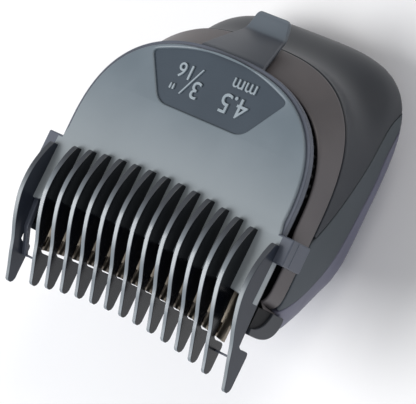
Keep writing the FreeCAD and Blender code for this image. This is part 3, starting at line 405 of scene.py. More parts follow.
def level(z):
    """Half width, rear, front, waist, rear roundness and front roundness at a height."""
    if z >= BAND_LOW:
        return blended(BAND_FOOT, BAND_RIM, (z - BAND_LOW) / BAND_HEIGHT)
    if z >= WIDEST:
        share = math.sin(math.pi / 2 * (BAND_LOW - z) / (BAND_LOW - WIDEST)) ** 4
        half, rear, _, waist, rear_power, _ = blended(BAND_FOOT, BELLY, share)
    else:
        share = (1 - (1 - z / WIDEST) ** 1.5) ** (2 / 3)
        half, rear, _, waist, rear_power, _ = blended(PALM_PATCH, BELLY, share)
    if z >= NOSE:
        share = math.sin(math.pi / 2 * (BAND_LOW - z) / (BAND_LOW - NOSE))
        _, _, front, _, _, front_power = blended(BAND_FOOT, BELLY, share)
    else:
        share = (1 - (1 - z / NOSE) ** 1.2) ** (1 / 1.2)
        front = mix(PALM_PATCH[2], BELLY[2], share)
        front_power = mix(PALM_PATCH[5], BELLY[5], share * share)
    return half, rear, front, waist, rear_power, front_power


def skin(angle, z, inset=0.0):
    """The point of the body's skin in one direction at one height, drawn in by inset."""
    half, rear, front, waist, rear_power, front_power = level(min(max(z, 0.0), BAND_TOP))
    across, along = math.cos(angle), math.sin(angle)
    reach = rear - inset - waist if along >= 0 else waist - front - inset
    power = rear_power if along >= 0 else front_power
    size = (abs(across / (half - inset)) ** power + abs(along / reach) ** power) ** (-1 / power)
    x, y = size * across, waist + size * along
    depth = min(1.0, max(0.0, (BAND_LOW - z) / NOSE_TAPER_DEPTH))
    return x * (1 - NOSE_TAPER * depth * max(0.0, NOSE_TAPER_FROM - y)), y, z


print("belly", 2 * BELLY[0], "mm wide, skin reaches y", round(skin(math.pi / 2, WIDEST)[1], 1))

# %% [markdown]
# Two parting lines run down each flank, where palm cover, grip and shoulder
# meet. A real mould parts along such a line, so it is drawn once, as height
# against Y, and each direction round the body looks up where it crosses it.

# %% Parting lines
REAR_LINE = 4.2
PALM_LINE = curve_through(
    [
        (-26.4, 28.8), (-19.0, 20.3), (-9.0, 15.0), (7.9, 12.6),
        (17.0, 12.4), (24.0, 10.2), (29.0, 6.6), (33.0, 4.2),
    ],
    16,
)
SHOULDER_LINE = curve_through(
    [
        (-9.0, 28.8), (-2.2, 25.2), (12.1, 18.7), (19.0, 16.2),
        (23.9, 14.0), (26.8, 11.6), (30.0, 7.6), (33.0, 4.3),
    ],
    12,
)


def along_line(line, y):
    """A parting line's height at y: the band before its start, the rear line past its end."""
    if y <= line[0][0]:
        return BAND_LOW
    if y >= line[-1][0]:
        return REAR_LINE
    for (ya, za), (yb, zb) in zip(line, line[1:]):
        if y <= yb:
            return mix(za, zb, (y - ya) / (yb - ya))


def crossing(angle, line):
    """The height at which the skin in one direction meets a parting line, found by halving."""
    low, high = 0.0, BAND_LOW
    for _ in range(26):
        middle = (low + high) / 2
        if middle < along_line(line, skin(angle, middle)[1]):
            low = middle
        else:
            high = middle
    return high


COLUMNS = 480
ANGLES = [2 * math.pi * n / COLUMNS for n in range(COLUMNS)]
PALM_EDGE = [crossing(a, PALM_LINE) for a in ANGLES]
SHOULDER_EDGE = [max(p, crossing(a, SHOULDER_LINE)) for a, p in zip(ANGLES, PALM_EDGE)]
print("parting lines cross", COLUMNS, "directions")

# %% [markdown]
# ## Shoulder and grips
#
# The shoulder shell and the two soft grips are separate mouldings that meet in
# dark, even grooves. A groove could be drawn as a black line, but it would not
# catch light at its edges. So each shell really stops short of its parting line
# and turns inwards with a small radius.

# %% Shoulder and grips
GROOVE = 0.16
LIP = [(0.0, 1.5), (0.0, 0.45), (0.04, 0.22), (0.12, 0.08), (0.3, 0.0)]
FLAT_FROM = LIP[-1][0]
LEAST_SHOULDER, LEAST_GRIP = 1.0, 0.9


def shell(name, columns, low_edge, high_edge, steps):
    """A shell between two edges, with both rims turned in."""
    rows = []
    for rise, inset in LIP:
        rows.append([skin(ANGLES[c], low_edge[c] + GROOVE + rise, inset) for c in columns])
    for n in range(1, steps):
        row = []
        for c in columns:
            foot, head = low_edge[c] + GROOVE + FLAT_FROM, high_edge[c] - GROOVE - FLAT_FROM
            row.append(skin(ANGLES[c], mix(foot, head, n / steps)))
        rows.append(row)
    for rise, inset in reversed(LIP):
        rows.append([skin(ANGLES[c], high_edge[c] - GROOVE - rise, inset) for c in columns])
    return sheet(name, rows)


TOP_EDGE = [BAND_LOW] * COLUMNS
shoulder_columns = [n for n in range(COLUMNS) if TOP_EDGE[n] - SHOULDER_EDGE[n] > LEAST_SHOULDER]
made(
    "shoulder_skin", shell("shoulder_skin", shoulder_columns, SHOULDER_EDGE, TOP_EDGE, 26),
    finishes["housing_plastic"], "housing", ["shoulder_shell"],
)
QUARTER = COLUMNS // 4
for start, label in ((-QUARTER, "right"), (QUARTER, "left")):
    half_turn = [n % COLUMNS for n in range(start, start + 2 * QUARTER)]
    columns = [n for n in half_turn if SHOULDER_EDGE[n] - PALM_EDGE[n] > LEAST_GRIP]
    made(
        f"grip_skin_{label}", shell(f"grip_skin_{label}", columns, PALM_EDGE, SHOULDER_EDGE, 22),
        finishes["grip_rubber"], "housing", [f"side_grip_{label}"],
    )
print("shoulder over", len(shoulder_columns), "columns, each grip over", len(columns))

# %% [markdown]
# ## Palm cover
#
# The cover is a tub with a flat patch to stand on. A shell as thin as the others
# would show nothing at its openings, so it gets an inner face and is closed at
# the middle. Its openings are then drilled as in a workshop, with round cutters
# and exact booleans: the button, the light, four screw wells and the socket.

# %% Palm cover's tub
PALM_WALL = 2.0
PATCH_MIDDLE = 6.0
FIRST_RISE, RISE_GROWTH = 0.02, 1.45

palm_rows = []
for share in (0.15, 0.5, 0.85, 1.0):
    patch_edge = [skin(a, 0.0) for a in ANGLES]
    palm_rows.append([(x * share, mix(PATCH_MIDDLE, y, share), 0.0) for x, y, _ in patch_edge])
low = [FIRST_RISE * RISE_GROWTH**n for n in range(17)]
palm_rows += [[skin(a, z) for a in ANGLES] for z in low]
for n in range(1, 25):
    palm_rows.append(
        [skin(a, mix(low[-1], edge - GROOVE - FLAT_FROM, n / 24)) for a, edge in zip(ANGLES, PALM_EDGE)]
    )
for rise, inset in reversed(LIP[:-1]):
    palm_rows.append([skin(a, edge - GROOVE - rise, inset) for a, edge in zip(ANGLES, PALM_EDGE)])
for n in range(11):
    heights = [max(mix(edge - 0.6, PALM_WALL, n / 10), PALM_WALL) for edge in PALM_EDGE]
    palm_rows.append([skin(a, z, PALM_WALL) for a, z in zip(ANGLES, heights)])
palm_rows.append([(x * 0.1, mix(PATCH_MIDDLE, y, 0.1), PALM_WALL) for x, y, _ in palm_rows[-1]])
palm = in_scene("palm_skin", sheet("palm_skin", palm_rows, closed=True, caps=True))
print("palm cover has", len(palm_rows), "rows of points")

# %% Palm cover's openings
AROUND = 96


def drill(radius, x, y, z, length, axis="z"):
    """A round cutter that starts at a point and runs along an axis."""
    turns = [2 * math.pi * n / AROUND for n in range(AROUND)]
    ring = [(radius * math.cos(a), radius * math.sin(a)) for a in turns]
    if axis == "z":
        points = [(x + u, y + v, h) for h in (z, z + length) for u, v in ring]
    else:
        points = [(x + u, h, z + v) for h in (y, y + length) for u, v in ring]
    faces = [list(range(AROUND)), list(range(AROUND, 2 * AROUND))]
    faces += [[n, (n + 1) % AROUND, (n + 1) % AROUND + AROUND, n + AROUND] for n in range(AROUND)]
    return in_scene("drill", meshed("drill", points, faces))


BUTTON_Y = 4.5
button_well = drill(9.8, 0, BUTTON_Y, -1, 6)
light_well = drill(1.4, 0, 16.0, -1, 6)
socket_well = drill(3.7, 0, 30, 8.0, 12, "y")
screw_wells = [drill(2.5, x, y, -1, 6) for x, y in ((15.5, 20.5), (-15.5, 20.5), (15.0, -9.5), (-15.0, -9.5))]
drills = [button_well, light_well, socket_well] + screw_wells
for item in drills:
    hole = palm.modifiers.new("hole", "BOOLEAN")
    hole.operation = "DIFFERENCE"
    hole.solver = "EXACT"
    hole.object = item
baked(palm)
for item in drills:
    bpy.data.objects.remove(item)
palm_mesh = palm.data
bpy.data.objects.remove(palm)
palm_mesh.set_sharp_from_angle(angle=math.radians(40))
made("palm_skin", palm_mesh, finishes["palm_plastic"], "housing", ["palm_cover"])
print(len(drills), "openings drilled,", len(palm_mesh.polygons), "palm faces")

# %% [markdown]
# ## Band and chin
#
# The band is a flared ring under the comb that ends square at the front, where
# two rounded cheeks close the nose beside the blades. A ring could be lathed,
# but this one follows the body's form, so it is laid out with the same skin. The
# cheeks are flat-sided, so they are outlines pushed sideways.

# %% Band
BAND_END, NEAR_END = -26.45, -25.9
BAND_DIP, DIP_FROM, DIP_LENGTH = 1.7, -7.0, 9.0
band_columns = [n for n in range(COLUMNS) if skin(ANGLES[n], BAND_LOW + 1)[1] > NEAR_END]
band_columns = sorted(band_columns, key=lambda n: (n + QUARTER) % COLUMNS)


def band_edge(y):
    """The band's top edge: level round the rear, falling a little beside the blades."""
    share = min(1.0, max(0.0, (DIP_FROM - y) / DIP_LENGTH))
    return BAND_TOP - BAND_DIP * share * share * (3 - 2 * share)


def band_row(share, drop, inset):
    """One row round the band: share of the way up, then lowered by drop and drawn in by inset."""
    row = []
    for n in band_columns:
        top = band_edge(skin(ANGLES[n], BAND_TOP)[1])
        row.append(skin(ANGLES[n], mix(BAND_LOW + GROOVE, top, share) - drop, inset))
    z = mix(BAND_LOW + GROOVE, band_edge(-26.0), share) - drop
    side = mix(BAND_FOOT[0], BAND_RIM[0], (z - BAND_LOW) / BAND_HEIGHT) - inset
    return [(side, BAND_END, z)] + row + [(-side, BAND_END, z)]


band_rows = [band_row(0.0, -rise, inset) for rise, inset in LIP]
band_rows += [band_row(n / 14, 0.0, 0.0) for n in range(1, 14)]
band_rows += [
    band_row(1.0, drop, inset)
    for drop, inset in ((0.12, 0.05), (0.03, 0.14), (0.0, 0.28), (0.05, 0.42), (0.2, 0.48), (5.5, 0.6))
]
band = sheet("band_skin", band_rows)
end_line = (BAND_END + 0.15) * MM
ends = bmesh.new()
ends.from_mesh(band)
open_edges = [e for e in ends.edges if e.is_boundary and all(v.co.y < end_line for v in e.verts)]
bmesh.ops.holes_fill(ends, edges=open_edges)
ends.to_mesh(band)
ends.free()
made("band_skin", band, finishes["bezel_plastic"], "housing", ["head_bezel"])

# Painted shade: a black sheet just inside the band's top edge, in the black moulded finish, stands for the
# shade in the gap between the band and the comb plate.
gap_shade_steps = ((5.5, 0.62), (0.9, 0.5), (0.75, 0.6), (0.75, 2.4))
gap_shade_rows = [band_row(1.0, drop, inset) for drop, inset in gap_shade_steps]
made(
    "band_liner", sheet("band_liner", gap_shade_rows), finishes["black_plastic"], "housing"
)
print("band of", len(band_rows), "rows over", len(band_columns), "columns")

# %% Chin
CHIN_REAR, CHIN_TOP = -26.5, 36.75
quarter_turn = [math.pi / 2 * n / 14 for n in range(15)]
cap_hole = [(CHIN_REAR - 4.95 * math.sin(t), CHIN_TOP - 5.7 * math.cos(t)) for t in quarter_turn]
cheek_front = curve_through(
    [(-27.0, 25.9), (-28.9, 26.0), (-30.6, 26.8), (-31.8, 28.1), (-32.6, 30.0), (-33.0, 32.6), (-33.0, 36.6)],
    6,
)
cheek_outline = [(CHIN_REAR, 26.2)] + cheek_front + cap_hole[::-1]
chin = [pushed("cheek", cheek_outline, a, b, "x", 0.3) for a, b in ((30.2, 34.8), (-34.8, -30.2))]
sill_front = curve_through([(-27.0, 27.35), (-28.6, 27.45), (-30.0, 28.2), (-30.6, 29.2)], 5)
sill_outline = [(CHIN_REAR, 30.4), (CHIN_REAR, 27.6)] + sill_front + [(-30.6, 30.0)]
chin.append(pushed("sill", sill_outline, -30.3, 30.3, "x", 0.25))
made(
    "chin_skin", joined("chin_skin", chin),
    finishes["housing_plastic"], "housing", ["chin_guard"],
)
print("chin made of", len(chin), "blocks")

# %% [markdown]
# ## Repeats
#
# Teeth and ticks are each one shape many times over, as one cutter makes them
# all in the real mould. Copies could be made by a loop, but a Geometry Nodes
# tree keeps the shape in one place: it sets the mould on each point, turned and
# stretched as the point says, with a tiny seeded difference in size.

# %% The repeating tree


def repeating_tree():
    tree = bpy.data.node_groups.new("repeat_on_points", "GeometryNodeTree")
    face = tree.interface
    face.new_socket("Geometry", in_out="INPUT", socket_type="NodeSocketGeometry")
    ids = {}
    wanted = (("Mould", "Object"), ("Difference", "Float"), ("Seed", "Int"), ("Finish", "Material"))
    for label, kind in wanted:
        ids[label] = face.new_socket(label, in_out="INPUT", socket_type=f"NodeSocket{kind}").identifier
    face.new_socket("Geometry", in_out="OUTPUT", socket_type="NodeSocketGeometry")
    given = add(tree, "NodeGroupInput").outputs
    low = add(tree, "ShaderNodeMath", {"operation": "SUBTRACT"}, {0: 1.0, 1: given["Difference"]})
    high = add(tree, "ShaderNodeMath", {"operation": "ADD"}, {0: 1.0, 1: given["Difference"]})
    chance = add(tree, "FunctionNodeRandomValue", {"data_type": "FLOAT"})
    tree.links.new(low.outputs[0], chance.inputs[2])
    tree.links.new(high.outputs[0], chance.inputs[3])
    tree.links.new(given["Seed"], chance.inputs["Seed"])
    vector = {"data_type": "FLOAT_VECTOR"}
    turn = add(tree, "GeometryNodeInputNamedAttribute", vector, {"Name": "turn"})
    stretch = add(tree, "GeometryNodeInputNamedAttribute", vector, {"Name": "stretch"})
    size = add(
        tree, "ShaderNodeVectorMath", {"operation": "SCALE"},
        {0: stretch.outputs["Attribute"], "Scale": chance.outputs[1]},
    )
    mould = add(tree, "GeometryNodeObjectInfo", sockets={"Object": given["Mould"]})
    copies = add(
        tree, "GeometryNodeInstanceOnPoints",
        sockets={
            "Points": given["Geometry"], "Instance": mould.outputs["Geometry"],
            "Rotation": turn.outputs["Attribute"], "Scale": size.outputs["Vector"],
        },
    )
    real = add(tree, "GeometryNodeRealizeInstances", sockets={"Geometry": copies.outputs["Instances"]})
    paint = {"Geometry": real.outputs["Geometry"], "Material": given["Finish"]}
    painted = add(tree, "GeometryNodeSetMaterial", sockets=paint)
    add(tree, "NodeGroupOutput", sockets={"Geometry": painted.outputs["Geometry"]})
    return tree, ids


TREE, TREE_IDS = repeating_tree()


def repeated(name, mould_mesh, places, material, seed, body, difference=0.002):
    """One mould repeated; places holds (point, turn, stretch) in millimetres and radians."""
    mould = in_scene("mould", mould_mesh)
    cloud = bpy.data.meshes.new(name)
    cloud.from_pydata([spot(*p) for p, _, _ in places], [], [])
    for label, index in (("turn", 1), ("stretch", 2)):
        values = cloud.attributes.new(label, "FLOAT_VECTOR", "POINT").data
        for value, place in zip(values, places):
            value.vector = place[index]
    item = in_scene(name, cloud)
    growth = item.modifiers.new("repeat", "NODES")
    growth.node_group = TREE
    growth[TREE_IDS["Mould"]] = mould
    growth[TREE_IDS["Difference"]] = difference
    growth[TREE_IDS["Seed"]] = seed
    growth[TREE_IDS["Finish"]] = material
    baked(item)
    mesh = item.data
    bpy.data.objects.remove(item)
    bpy.data.objects.remove(mould)
    return made(name, mesh, material, body)


print("repeating tree has", len(TREE.nodes), "nodes")

# %% [markdown]
# ## Guide comb's teeth
#
# A guide comb holds the blades off the skin: fifteen upright teeth, each with a
# humped ridge that lifts the hair and a nub that wraps the blade's points. Each
# tooth is flat-sided and thins to its tip so that it leaves the mould, so it is
# a side outline pushed by its thickness and then thinned. The thirteen inner
# teeth are one mould repeated along an arc; the two at the ends are longer in
# the nub and are made apart.

# %% Tooth shapes
TOOTH_PITCH, HALF_TOOTH, THINNING = 4.5, 0.75, 0.34
ROOT_Y, TIP_Y = -9.0, -42.4
ROOT_ARC, TIP_ARC = 165.0, 128.0
HUMP = 4.7
HUMP_SHAPE = [
    (0.04, 0.5), (0.1, 0.7), (0.2, 0.92), (0.3, 0.99), (0.4, 0.92), (0.5, 0.68), (0.6, 0.33), (0.7, -0.12),
]


def arched(x, top, radius):
    """How far forward a shallow arc through (0, top) has come at x."""
    return top - x * x / (2 * radius)


def tooth_outline(root, tip, nub):
    """A tooth seen from the side: ridge, rounded tip, nub and foot."""
    length = root - tip
    ridge = [(root - 0.4, PLATE_TOP + 1.75)]
    ridge += [(root - length * share, PLATE_TOP + HUMP * up) for share, up in HUMP_SHAPE]
    ridge += [(root - length * 0.8, PLATE_TOP - 2.2), (root - length * 0.9, PLATE_TOP - 4.0)]
    ridge += [(tip + 0.7, PLATE_TOP - 5.3)]
    line = [(root, PLATE_TOP - 0.3), (root, PLATE_TOP + 1.3)] + curve_through(ridge, 5)
    line += [(tip + 0.3, PLATE_TOP - 5.9), (tip + 0.25, PLATE_TOP - 6.7), (tip + 0.7, PLATE_TOP - 7.4)]
    line += [(tip + 1.5, PLATE_TOP - 7.75), (tip + 2.1, PLATE_TOP - 7.75)]
    bump = [(nub - 1.0, PLATE_TOP - 7.7), (nub - 0.3, PLATE_TOP - 7.4), (nub, PLATE_TOP - 6.6)]
    bump += [(nub, PLATE_TOP - 4.3), (nub + 0.5, PLATE_TOP - 3.2)]
    line += curve_through(bump, 4)
    return line + [(-26.0, PLATE_LOW + 0.05), (root - 2.5, PLATE_LOW + 0.3), (root - 0.4, PLATE_TOP - 0.6)]


def thinned(mesh, middle, root):
    """Thins a tooth evenly from its root to its tip."""
    centre = middle * MM
    for vertex in mesh.vertices:
        share = min(1.0, max(0.0, (root * MM - vertex.co.y) / ((ROOT_Y - TIP_Y) * MM)))
        vertex.co.x = centre + (vertex.co.x - centre) * (1.0 - THINNING * share)
    return mesh


print("tooth outline has", len(tooth_outline(ROOT_Y, TIP_Y, -34.4)), "points")

# %% Inner teeth
tooth_side = [(y - ROOT_Y, z) for y, z in tooth_outline(ROOT_Y, TIP_Y, -34.4)]
tooth = thinned(pushed("tooth", tooth_side, -HALF_TOOTH, HALF_TOOTH, "x", 0.2), 0.0, 0.0)
tooth_places = []
for number in range(-6, 7):
    x = TOOTH_PITCH * number
    root = arched(x, ROOT_Y, ROOT_ARC)
    reach = (root - arched(x, TIP_Y, TIP_ARC)) / (ROOT_Y - TIP_Y)
    tooth_places.append(((x, root, 0.0), (0, 0, 0), (1, reach, 1)))
repeated("comb_teeth", tooth, tooth_places, comb_finishes["tooth"], 7, "comb", 0.0004)
print(len(tooth_places), "inner teeth")

# %% Outer teeth
outer_x, outer_root = 33.95, -12.5
outer_outline = tooth_outline(arched(outer_x, ROOT_Y, ROOT_ARC), arched(outer_x, TIP_Y, TIP_ARC), -36.6)
outer = []
for x in (-outer_x, outer_x):
    blank = pushed("outer", outer_outline, x - HALF_TOOTH, x + HALF_TOOTH, "x", 0.22)
    outer.append(thinned(blank, x, outer_root))
made(
    "comb_outer_teeth", joined("comb_outer_teeth", outer),
    comb_finishes["outer_tooth"], "comb",
)
print(len(outer), "outer teeth")

# %% [markdown]
# ## Comb plate
#
# The plate is a disc with a straight waist and an arched front edge, with a
# shallow label recess. A boolean could sink the recess, but a filled curve with
# the recess as its inner loop gives both edges the same soft bevel in one go.
# The recess then has its own, rougher floor underneath.

# %% Plate outlines
FRONT_ARC, FRONT_HALF, WAIST_Y = 207.6, 34.7, -16.3


def plate_rear(inset=0.0):
    """The plate's rear edge, which follows the band's rim."""
    half, rear, _, waist, power, _ = BAND_RIM
    line = []
    for n in range(181):
        a = math.pi * n / 180
        across, along = math.cos(a), math.sin(a)
        reach = rear - waist - inset
        size = (abs(across / (half - inset)) ** power + abs(along / reach) ** power) ** (-1 / power)
        line.append((size * across, waist + size * along))
    return line


front = [(x, arched(x, -23.5, FRONT_ARC)) for x in [-FRONT_HALF + 2 * FRONT_HALF * n / 60 for n in range(61)]]
rim_half = BAND_RIM[0]
rim_outline = plate_rear() + [(-rim_half, WAIST_Y)] + front[1:-1] + [(rim_half, WAIST_Y)]
top_rear = [p for p in plate_rear(1.0) if p[1] > -6.0]
right_neck = curve_through([(33.1, -9.0), (32.75, -7.6), top_rear[0]], 5)
left_neck = curve_through([(-32.75, -7.6), (-33.1, -9.0), (-33.3, -10.2)], 5)
plate_outline = [(33.3, -10.2)] + right_neck + top_rear[1:] + left_neck
plate_outline += [(-34.6, -10.2), (-FRONT_HALF, WAIST_Y)] + front + [(FRONT_HALF, WAIST_Y), (34.6, -10.2)]
print("plate outline has", len(plate_outline), "points")

# %% Recess outline


def walked(points, start, step, distance):
    """Goes a distance along a closed outline; gives the place and the next point's number."""
    here, number = points[start], start
    while True:
        number = (number + step) % len(points)
        gap = (points[number] - here).length
        if gap >= distance:
            return here + (points[number] - here) * distance / gap, number
        distance -= gap
        here = points[number]


def softened(raw, radius):
    """A closed outline whose corners are cut back by radius(y) and curved."""
    points = [Vector(p) for p in raw]
    count = len(points)
    corners = []
    for n in range(count):
        a, b = points[n - 1] - points[n], points[(n + 1) % count] - points[n]
        if a.angle(b) < math.radians(150):
            corners.append(n)
    line = []
    for which, n in enumerate(corners):
        start, _ = walked(points, n, -1, radius(points[n].y))
        end, after = walked(points, n, 1, radius(points[n].y))
        for k in range(9):
            t = k / 8
            line.append(start * (1 - t) ** 2 + points[n] * 2 * t * (1 - t) + end * t * t)
        following = corners[(which + 1) % len(corners)]
        _, last = walked(points, following, -1, radius(points[following].y))
        while after != (last + 1) % count:
            line.append(points[after])
            after = (after + 1) % count
    return [tuple(p) for p in line]


def recess_line(grow=0.0):
    """The label recess: arched rear, slanted sides, straight front, round corners."""
    side, front_half = 20.2 + grow, 12.6 + grow
    arc = [(side * (1 - n / 20), 16.9 + (4.4 + grow) * (1 - (1 - n / 20) ** 2)) for n in range(41)]
    straight_front = [(-front_half, 6.1 - grow), (front_half, 6.1 - grow)]
    return softened(arc + straight_front, lambda y: 1.5 if y > 10 else 2.6)


print("recess outline has", len(recess_line()), "points")

# %% Plate, rim and recess floor
PLATE_ROUND, PLATE_HALF, PLATE_LIFT = 0.38, 1.1, 0.3


def plate_piece():
    """The plate as a filled curve: outer edge and recess, both bevelled."""
    data = bpy.data.curves.new("plate", "CURVE")
    data.dimensions = "2D"
    data.fill_mode = "BOTH"
    for outline in (plate_outline, recess_line()):
        spline = data.splines.new("POLY")
        spline.points.add(len(outline) - 1)
        for point, (x, y) in zip(spline.points, outline):
            point.co = (x * MM, y * MM, 0, 1)
        spline.use_cyclic_u = True
    data.extrude = (PLATE_HALF - PLATE_ROUND) * MM
    data.bevel_depth = PLATE_ROUND * MM
    data.offset = -PLATE_ROUND * MM
    data.bevel_resolution = 3
    mesh = as_mesh("plate", data)
    for vertex in mesh.vertices:
        vertex.co.z += MM * (PLATE_LOW + PLATE_LIFT + PLATE_TOP) / 2
    return cleaned(mesh, math.radians(35))


made("comb_plate", plate_piece(), finishes["comb_plastic"], "comb", ["guide_comb"])
made(
    "comb_rim", pushed("comb_rim", rim_outline, PLATE_LOW, PLATE_TOP - 0.75, "z", 0.25),
    comb_finishes["ear"], "comb",
)
recess_floor = pushed("comb_recess", recess_line(0.5), PLATE_LOW + 0.4, PLATE_TOP - 0.5, "z", 0.05, 1)
made("comb_recess", recess_floor, comb_finishes["recess"], "comb")
print("plate is", PLATE_TOP - PLATE_LOW, "mm deep with its rim")

# %% [markdown]
# ## Strap and ears
#
# The strap is the comb's thumb lift: it leaves the plate's rear edge, drops to a
# knee behind the band and ends in the tab. A bent bar would keep one section all
# along, but the strap narrows as it goes, so it is a sheet of cross-sections.
# The ears clip over the band, and a bar and a brace stiffen each outer tooth.
# These are straight, so they are pushed outlines.

# %% Strap
STRAP_ROUND, STRAP_THICK = 0.42, 1.35


def strap_row(y, top, half, lean):
    """One cross-section of the strap: flat top and underside, rounded sides, leaning where it drops."""
    back, drop = lean * 1.2, 1.0 - lean * 0.25
    row = []
    for side in (1, -1):
        for k in range(7):
            a = math.pi * k / 6 - math.pi / 2
            across = half - STRAP_ROUND + STRAP_ROUND * math.cos(a)
            row.append((side * across, side * STRAP_THICK / 2 * math.sin(a)))
    below = [v - STRAP_THICK / 2 for _, v in row]
    return [(x, y + back * v / STRAP_THICK, top + drop * v) for (x, _), v in zip(row, below)]


strap_path = [
    (19.5, 39.35, 10.6, 0.0), (21.3, 39.35, 9.9, 0.1), (22.6, 38.95, 9.4, 0.45), (24.0, 37.75, 8.8, 0.7),
    (27.0, 34.85, 7.5, 0.75), (29.4, 32.45, 6.35, 0.7), (30.5, 31.45, 5.95, 0.45), (31.5, 31.0, 5.75, 0.15),
    (33.0, 30.9, 5.4, 0.0), (34.6, 30.9, 5.0, 0.0), (35.3, 30.9, 4.5, 0.0), (35.6, 30.87, 3.9, 0.0),
]
strap_rows = [strap_row(*station) for station in curve_through(strap_path, 5)[:-1]]
strap = rounded(sheet("comb_strap", strap_rows, closed=True, caps=True), 0.2, 2)
made("comb_strap", strap, comb_finishes["strap"], "comb")
print("strap through", len(strap_rows), "cross-sections")

# %% Ears
EAR_IN, EAR_OUT, EAR_FOOT = 32.6, 37.45, 32.75
ears = []
for side in (1, -1):
    profile = [(EAR_IN, PLATE_TOP - 0.02), (EAR_OUT, PLATE_TOP - 0.02), (EAR_OUT, EAR_FOOT)]
    profile += [(34.95, EAR_FOOT), (34.95, PLATE_LOW), (EAR_IN, PLATE_LOW)]
    ears.append(pushed("ear", [(side * u, v) for u, v in profile], WAIST_Y, -10.0, "y", 0.35))
    crease = [(side * 37.4, 37.72), (side * 37.55, 37.86), (side * 37.55, 37.96), (side * 37.4, 38.1)]
    ears.append(pushed("crease", crease, -16.0, -10.3, "y", 0.03, 1))
made("comb_ears", joined("comb_ears", ears), comb_finishes["ear"], "comb")

stays = []
bar_line = [(-39.5, 33.9), (-39.0, 33.9), (-39.0, 34.7), (-39.5, 34.7)]
brace_line = [(-25.9, 38.05), (-33.0, 37.4), (-39.6, 33.6), (-39.6, 34.8), (-33.0, 38.7), (-25.9, 39.6)]
for side in (1, -1):
    stays.append(pushed("bar", bar_line, *sorted((side * 27.2, side * 33.6)), "x", 0.15))
    stays.append(pushed("brace", brace_line[::-1], *sorted((side * 32.1, side * 33.4)), "x", 0.18))
made("comb_stays", joined("comb_stays", stays), comb_finishes["ear"], "comb")
print(len(ears), "ear parts and", len(stays), "stays")

# %% [markdown]
# ## Marks and ticks
#
# The comb's cutting length stands up from the recess floor. Lettering could be
# traced by hand, but a text object with a small extrusion and bevel gives real
# edges that catch the light. The slanted stroke is a pushed outline.

# %% Size marks


def mark(text, size, centre):
    """Raised lettering that reads from the thumb tab's side, centred on a place."""
    data = bpy.data.curves.new("mark", "FONT")
    data.body = text
    data.size = size * MM
    data.align_x = "CENTER"
    data.align_y = "CENTER"
    data.extrude = 0.22 * MM
    data.bevel_depth = 0.06 * MM
    data.offset = -0.04 * MM
    mesh = as_mesh("mark", data)
    middle = [(min(c) + max(c)) / 2 for c in zip(*[v.co[:2] for v in mesh.vertices])]
    for vertex in mesh.vertices:
        x, y, z = vertex.co
        vertex.co = Vector((middle[0] - x, middle[1] - y, z)) + spot(*centre, PLATE_TOP - 0.35)
    return mesh


marks = [mark("4.5", 6.7, (7.4, 11.7)), mark("mm", 4.7, (7.8, 16.9)), mark("3", 6.0, (-4.25, 11.7))]
marks += [mark("16", 5.0, (-9.2, 15.0)), mark('"', 5.2, (-10.8, 10.7))]
stroke = [(-4.2, 16.8), (-4.65, 16.8), (-8.3, 9.6), (-7.85, 9.6)]
marks.append(pushed("stroke", stroke, PLATE_TOP - 0.6, PLATE_TOP - 0.08, "z", 0.08, 2))
made("comb_marks", joined("comb_marks", marks), comb_finishes["mark"], "comb")
print(len(marks), "marks")

# %% [markdown]
# Fine raised ticks round the button let the thumb find it without looking. They
# are one small bar, repeated round a circle by the same tree as the teeth.

# %% Button ticks
TICK_RING, TICKS = 6.4, 24
tick = pushed("tick", [(-0.25, -1.6), (0.25, -1.6), (0.25, 1.6), (-0.25, 1.6)], 0.75, 0.95, "z", 0.1, 2)
tick_places = []
for a in [2 * math.pi * n / TICKS for n in range(TICKS)]:
    place = (TICK_RING * math.cos(a), BUTTON_Y + TICK_RING * math.sin(a), 0.0)
    tick_places.append((place, (0, 0, a - math.pi / 2), (1, 0.55, 1)))
repeated("button_ticks", tick, tick_places, finishes["button_rubber"], 5, "button")
print(len(tick_places), "ticks")

# %% [markdown]
# ## Studio
#
# The clipper lies on pale paper under soft light. A ready-made surround image
# would light it too, but three round area lights and one even background colour
# are easy to reason about: a large key above and to the left, a weak fill and a
# rim light from behind.

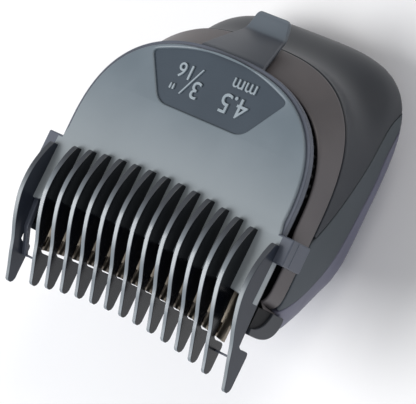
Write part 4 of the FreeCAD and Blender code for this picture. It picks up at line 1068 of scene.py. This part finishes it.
# %% Floor and surround
floor_mesh = bpy.data.meshes.new("floor")
floor_mesh.from_pydata([(-6, -6, 0), (6, -6, 0), (6, 6, 0), (-6, 6, 0)], [], [[0, 1, 2, 3]])
floor_finish = bpy.data.materials.new("floor_pale_paper")
floor_finish.use_nodes = True
floor_shader = floor_finish.node_tree.nodes["Principled BSDF"]
floor_shader.inputs["Base Color"].default_value = linear("f6f6f7")
floor_shader.inputs["Roughness"].default_value = 0.9
floor_mesh.materials.append(floor_finish)
floor = in_scene("floor", floor_mesh)

world = bpy.data.worlds.new("pale_surround")
world.use_nodes = True
world.node_tree.nodes["Background"].inputs["Color"].default_value = linear("f2f5fa")
world.node_tree.nodes["Background"].inputs["Strength"].default_value = 0.3
bpy.context.scene.world = world
print("floor and surround set")

# %% Lights
AIM = Vector((0, 0, 0.03))


def soft_light(name, place, power, size, colour):
    """A round area light that looks at the clipper's middle."""
    data = bpy.data.lights.new(name, "AREA")
    data.shape = "DISK"
    data.size = size
    data.energy = power
    data.color = linear(colour)[:3]
    item = in_scene(name, data)
    item.location = place
    item.rotation_euler = (AIM - Vector(place)).to_track_quat("-Z", "Y").to_euler()


soft_light("key", (-1.05, -0.95, 1.6), 46.0, 1.5, "ffffff")
soft_light("fill", (1.2, -0.9, 0.9), 5.0, 1.2, "eef3ff")
soft_light("rim", (0.6, 1.4, 1.2), 9.0, 1.0, "fffaf2")
print(len(bpy.data.lights), "lights")

# %% [markdown]
# The camera looks down over the comb with a long lens, so that lines stay nearly
# parallel. Its stance is given by the directions of its right and up and by its
# place, which is more exact than turning it by angles.

# %% Camera
camera_data = bpy.data.cameras.new("camera")
camera_data.lens = 199.04
camera_data.sensor_width = 36.0
camera_data.sensor_fit = "HORIZONTAL"
camera_data.clip_start = 0.01
camera = in_scene("camera", camera_data)
right, up = Vector((0.7484, 0.4322, -0.5032)), Vector((-0.3408, 0.9014, 0.2673))
back = right.cross(up).normalized()
camera.matrix_world = Matrix(
    (
        (right.x, up.x, back.x, 0.3048),
        (right.y, up.y, back.y, -0.0249),
        (right.z, up.z, back.z, 0.4627),
        (0, 0, 0, 1),
    )
)
bpy.context.scene.camera = camera
bpy.context.scene.view_settings.view_transform = "Standard"
print("camera stands", round(camera.matrix_world.translation.length, 3), "m from the origin")
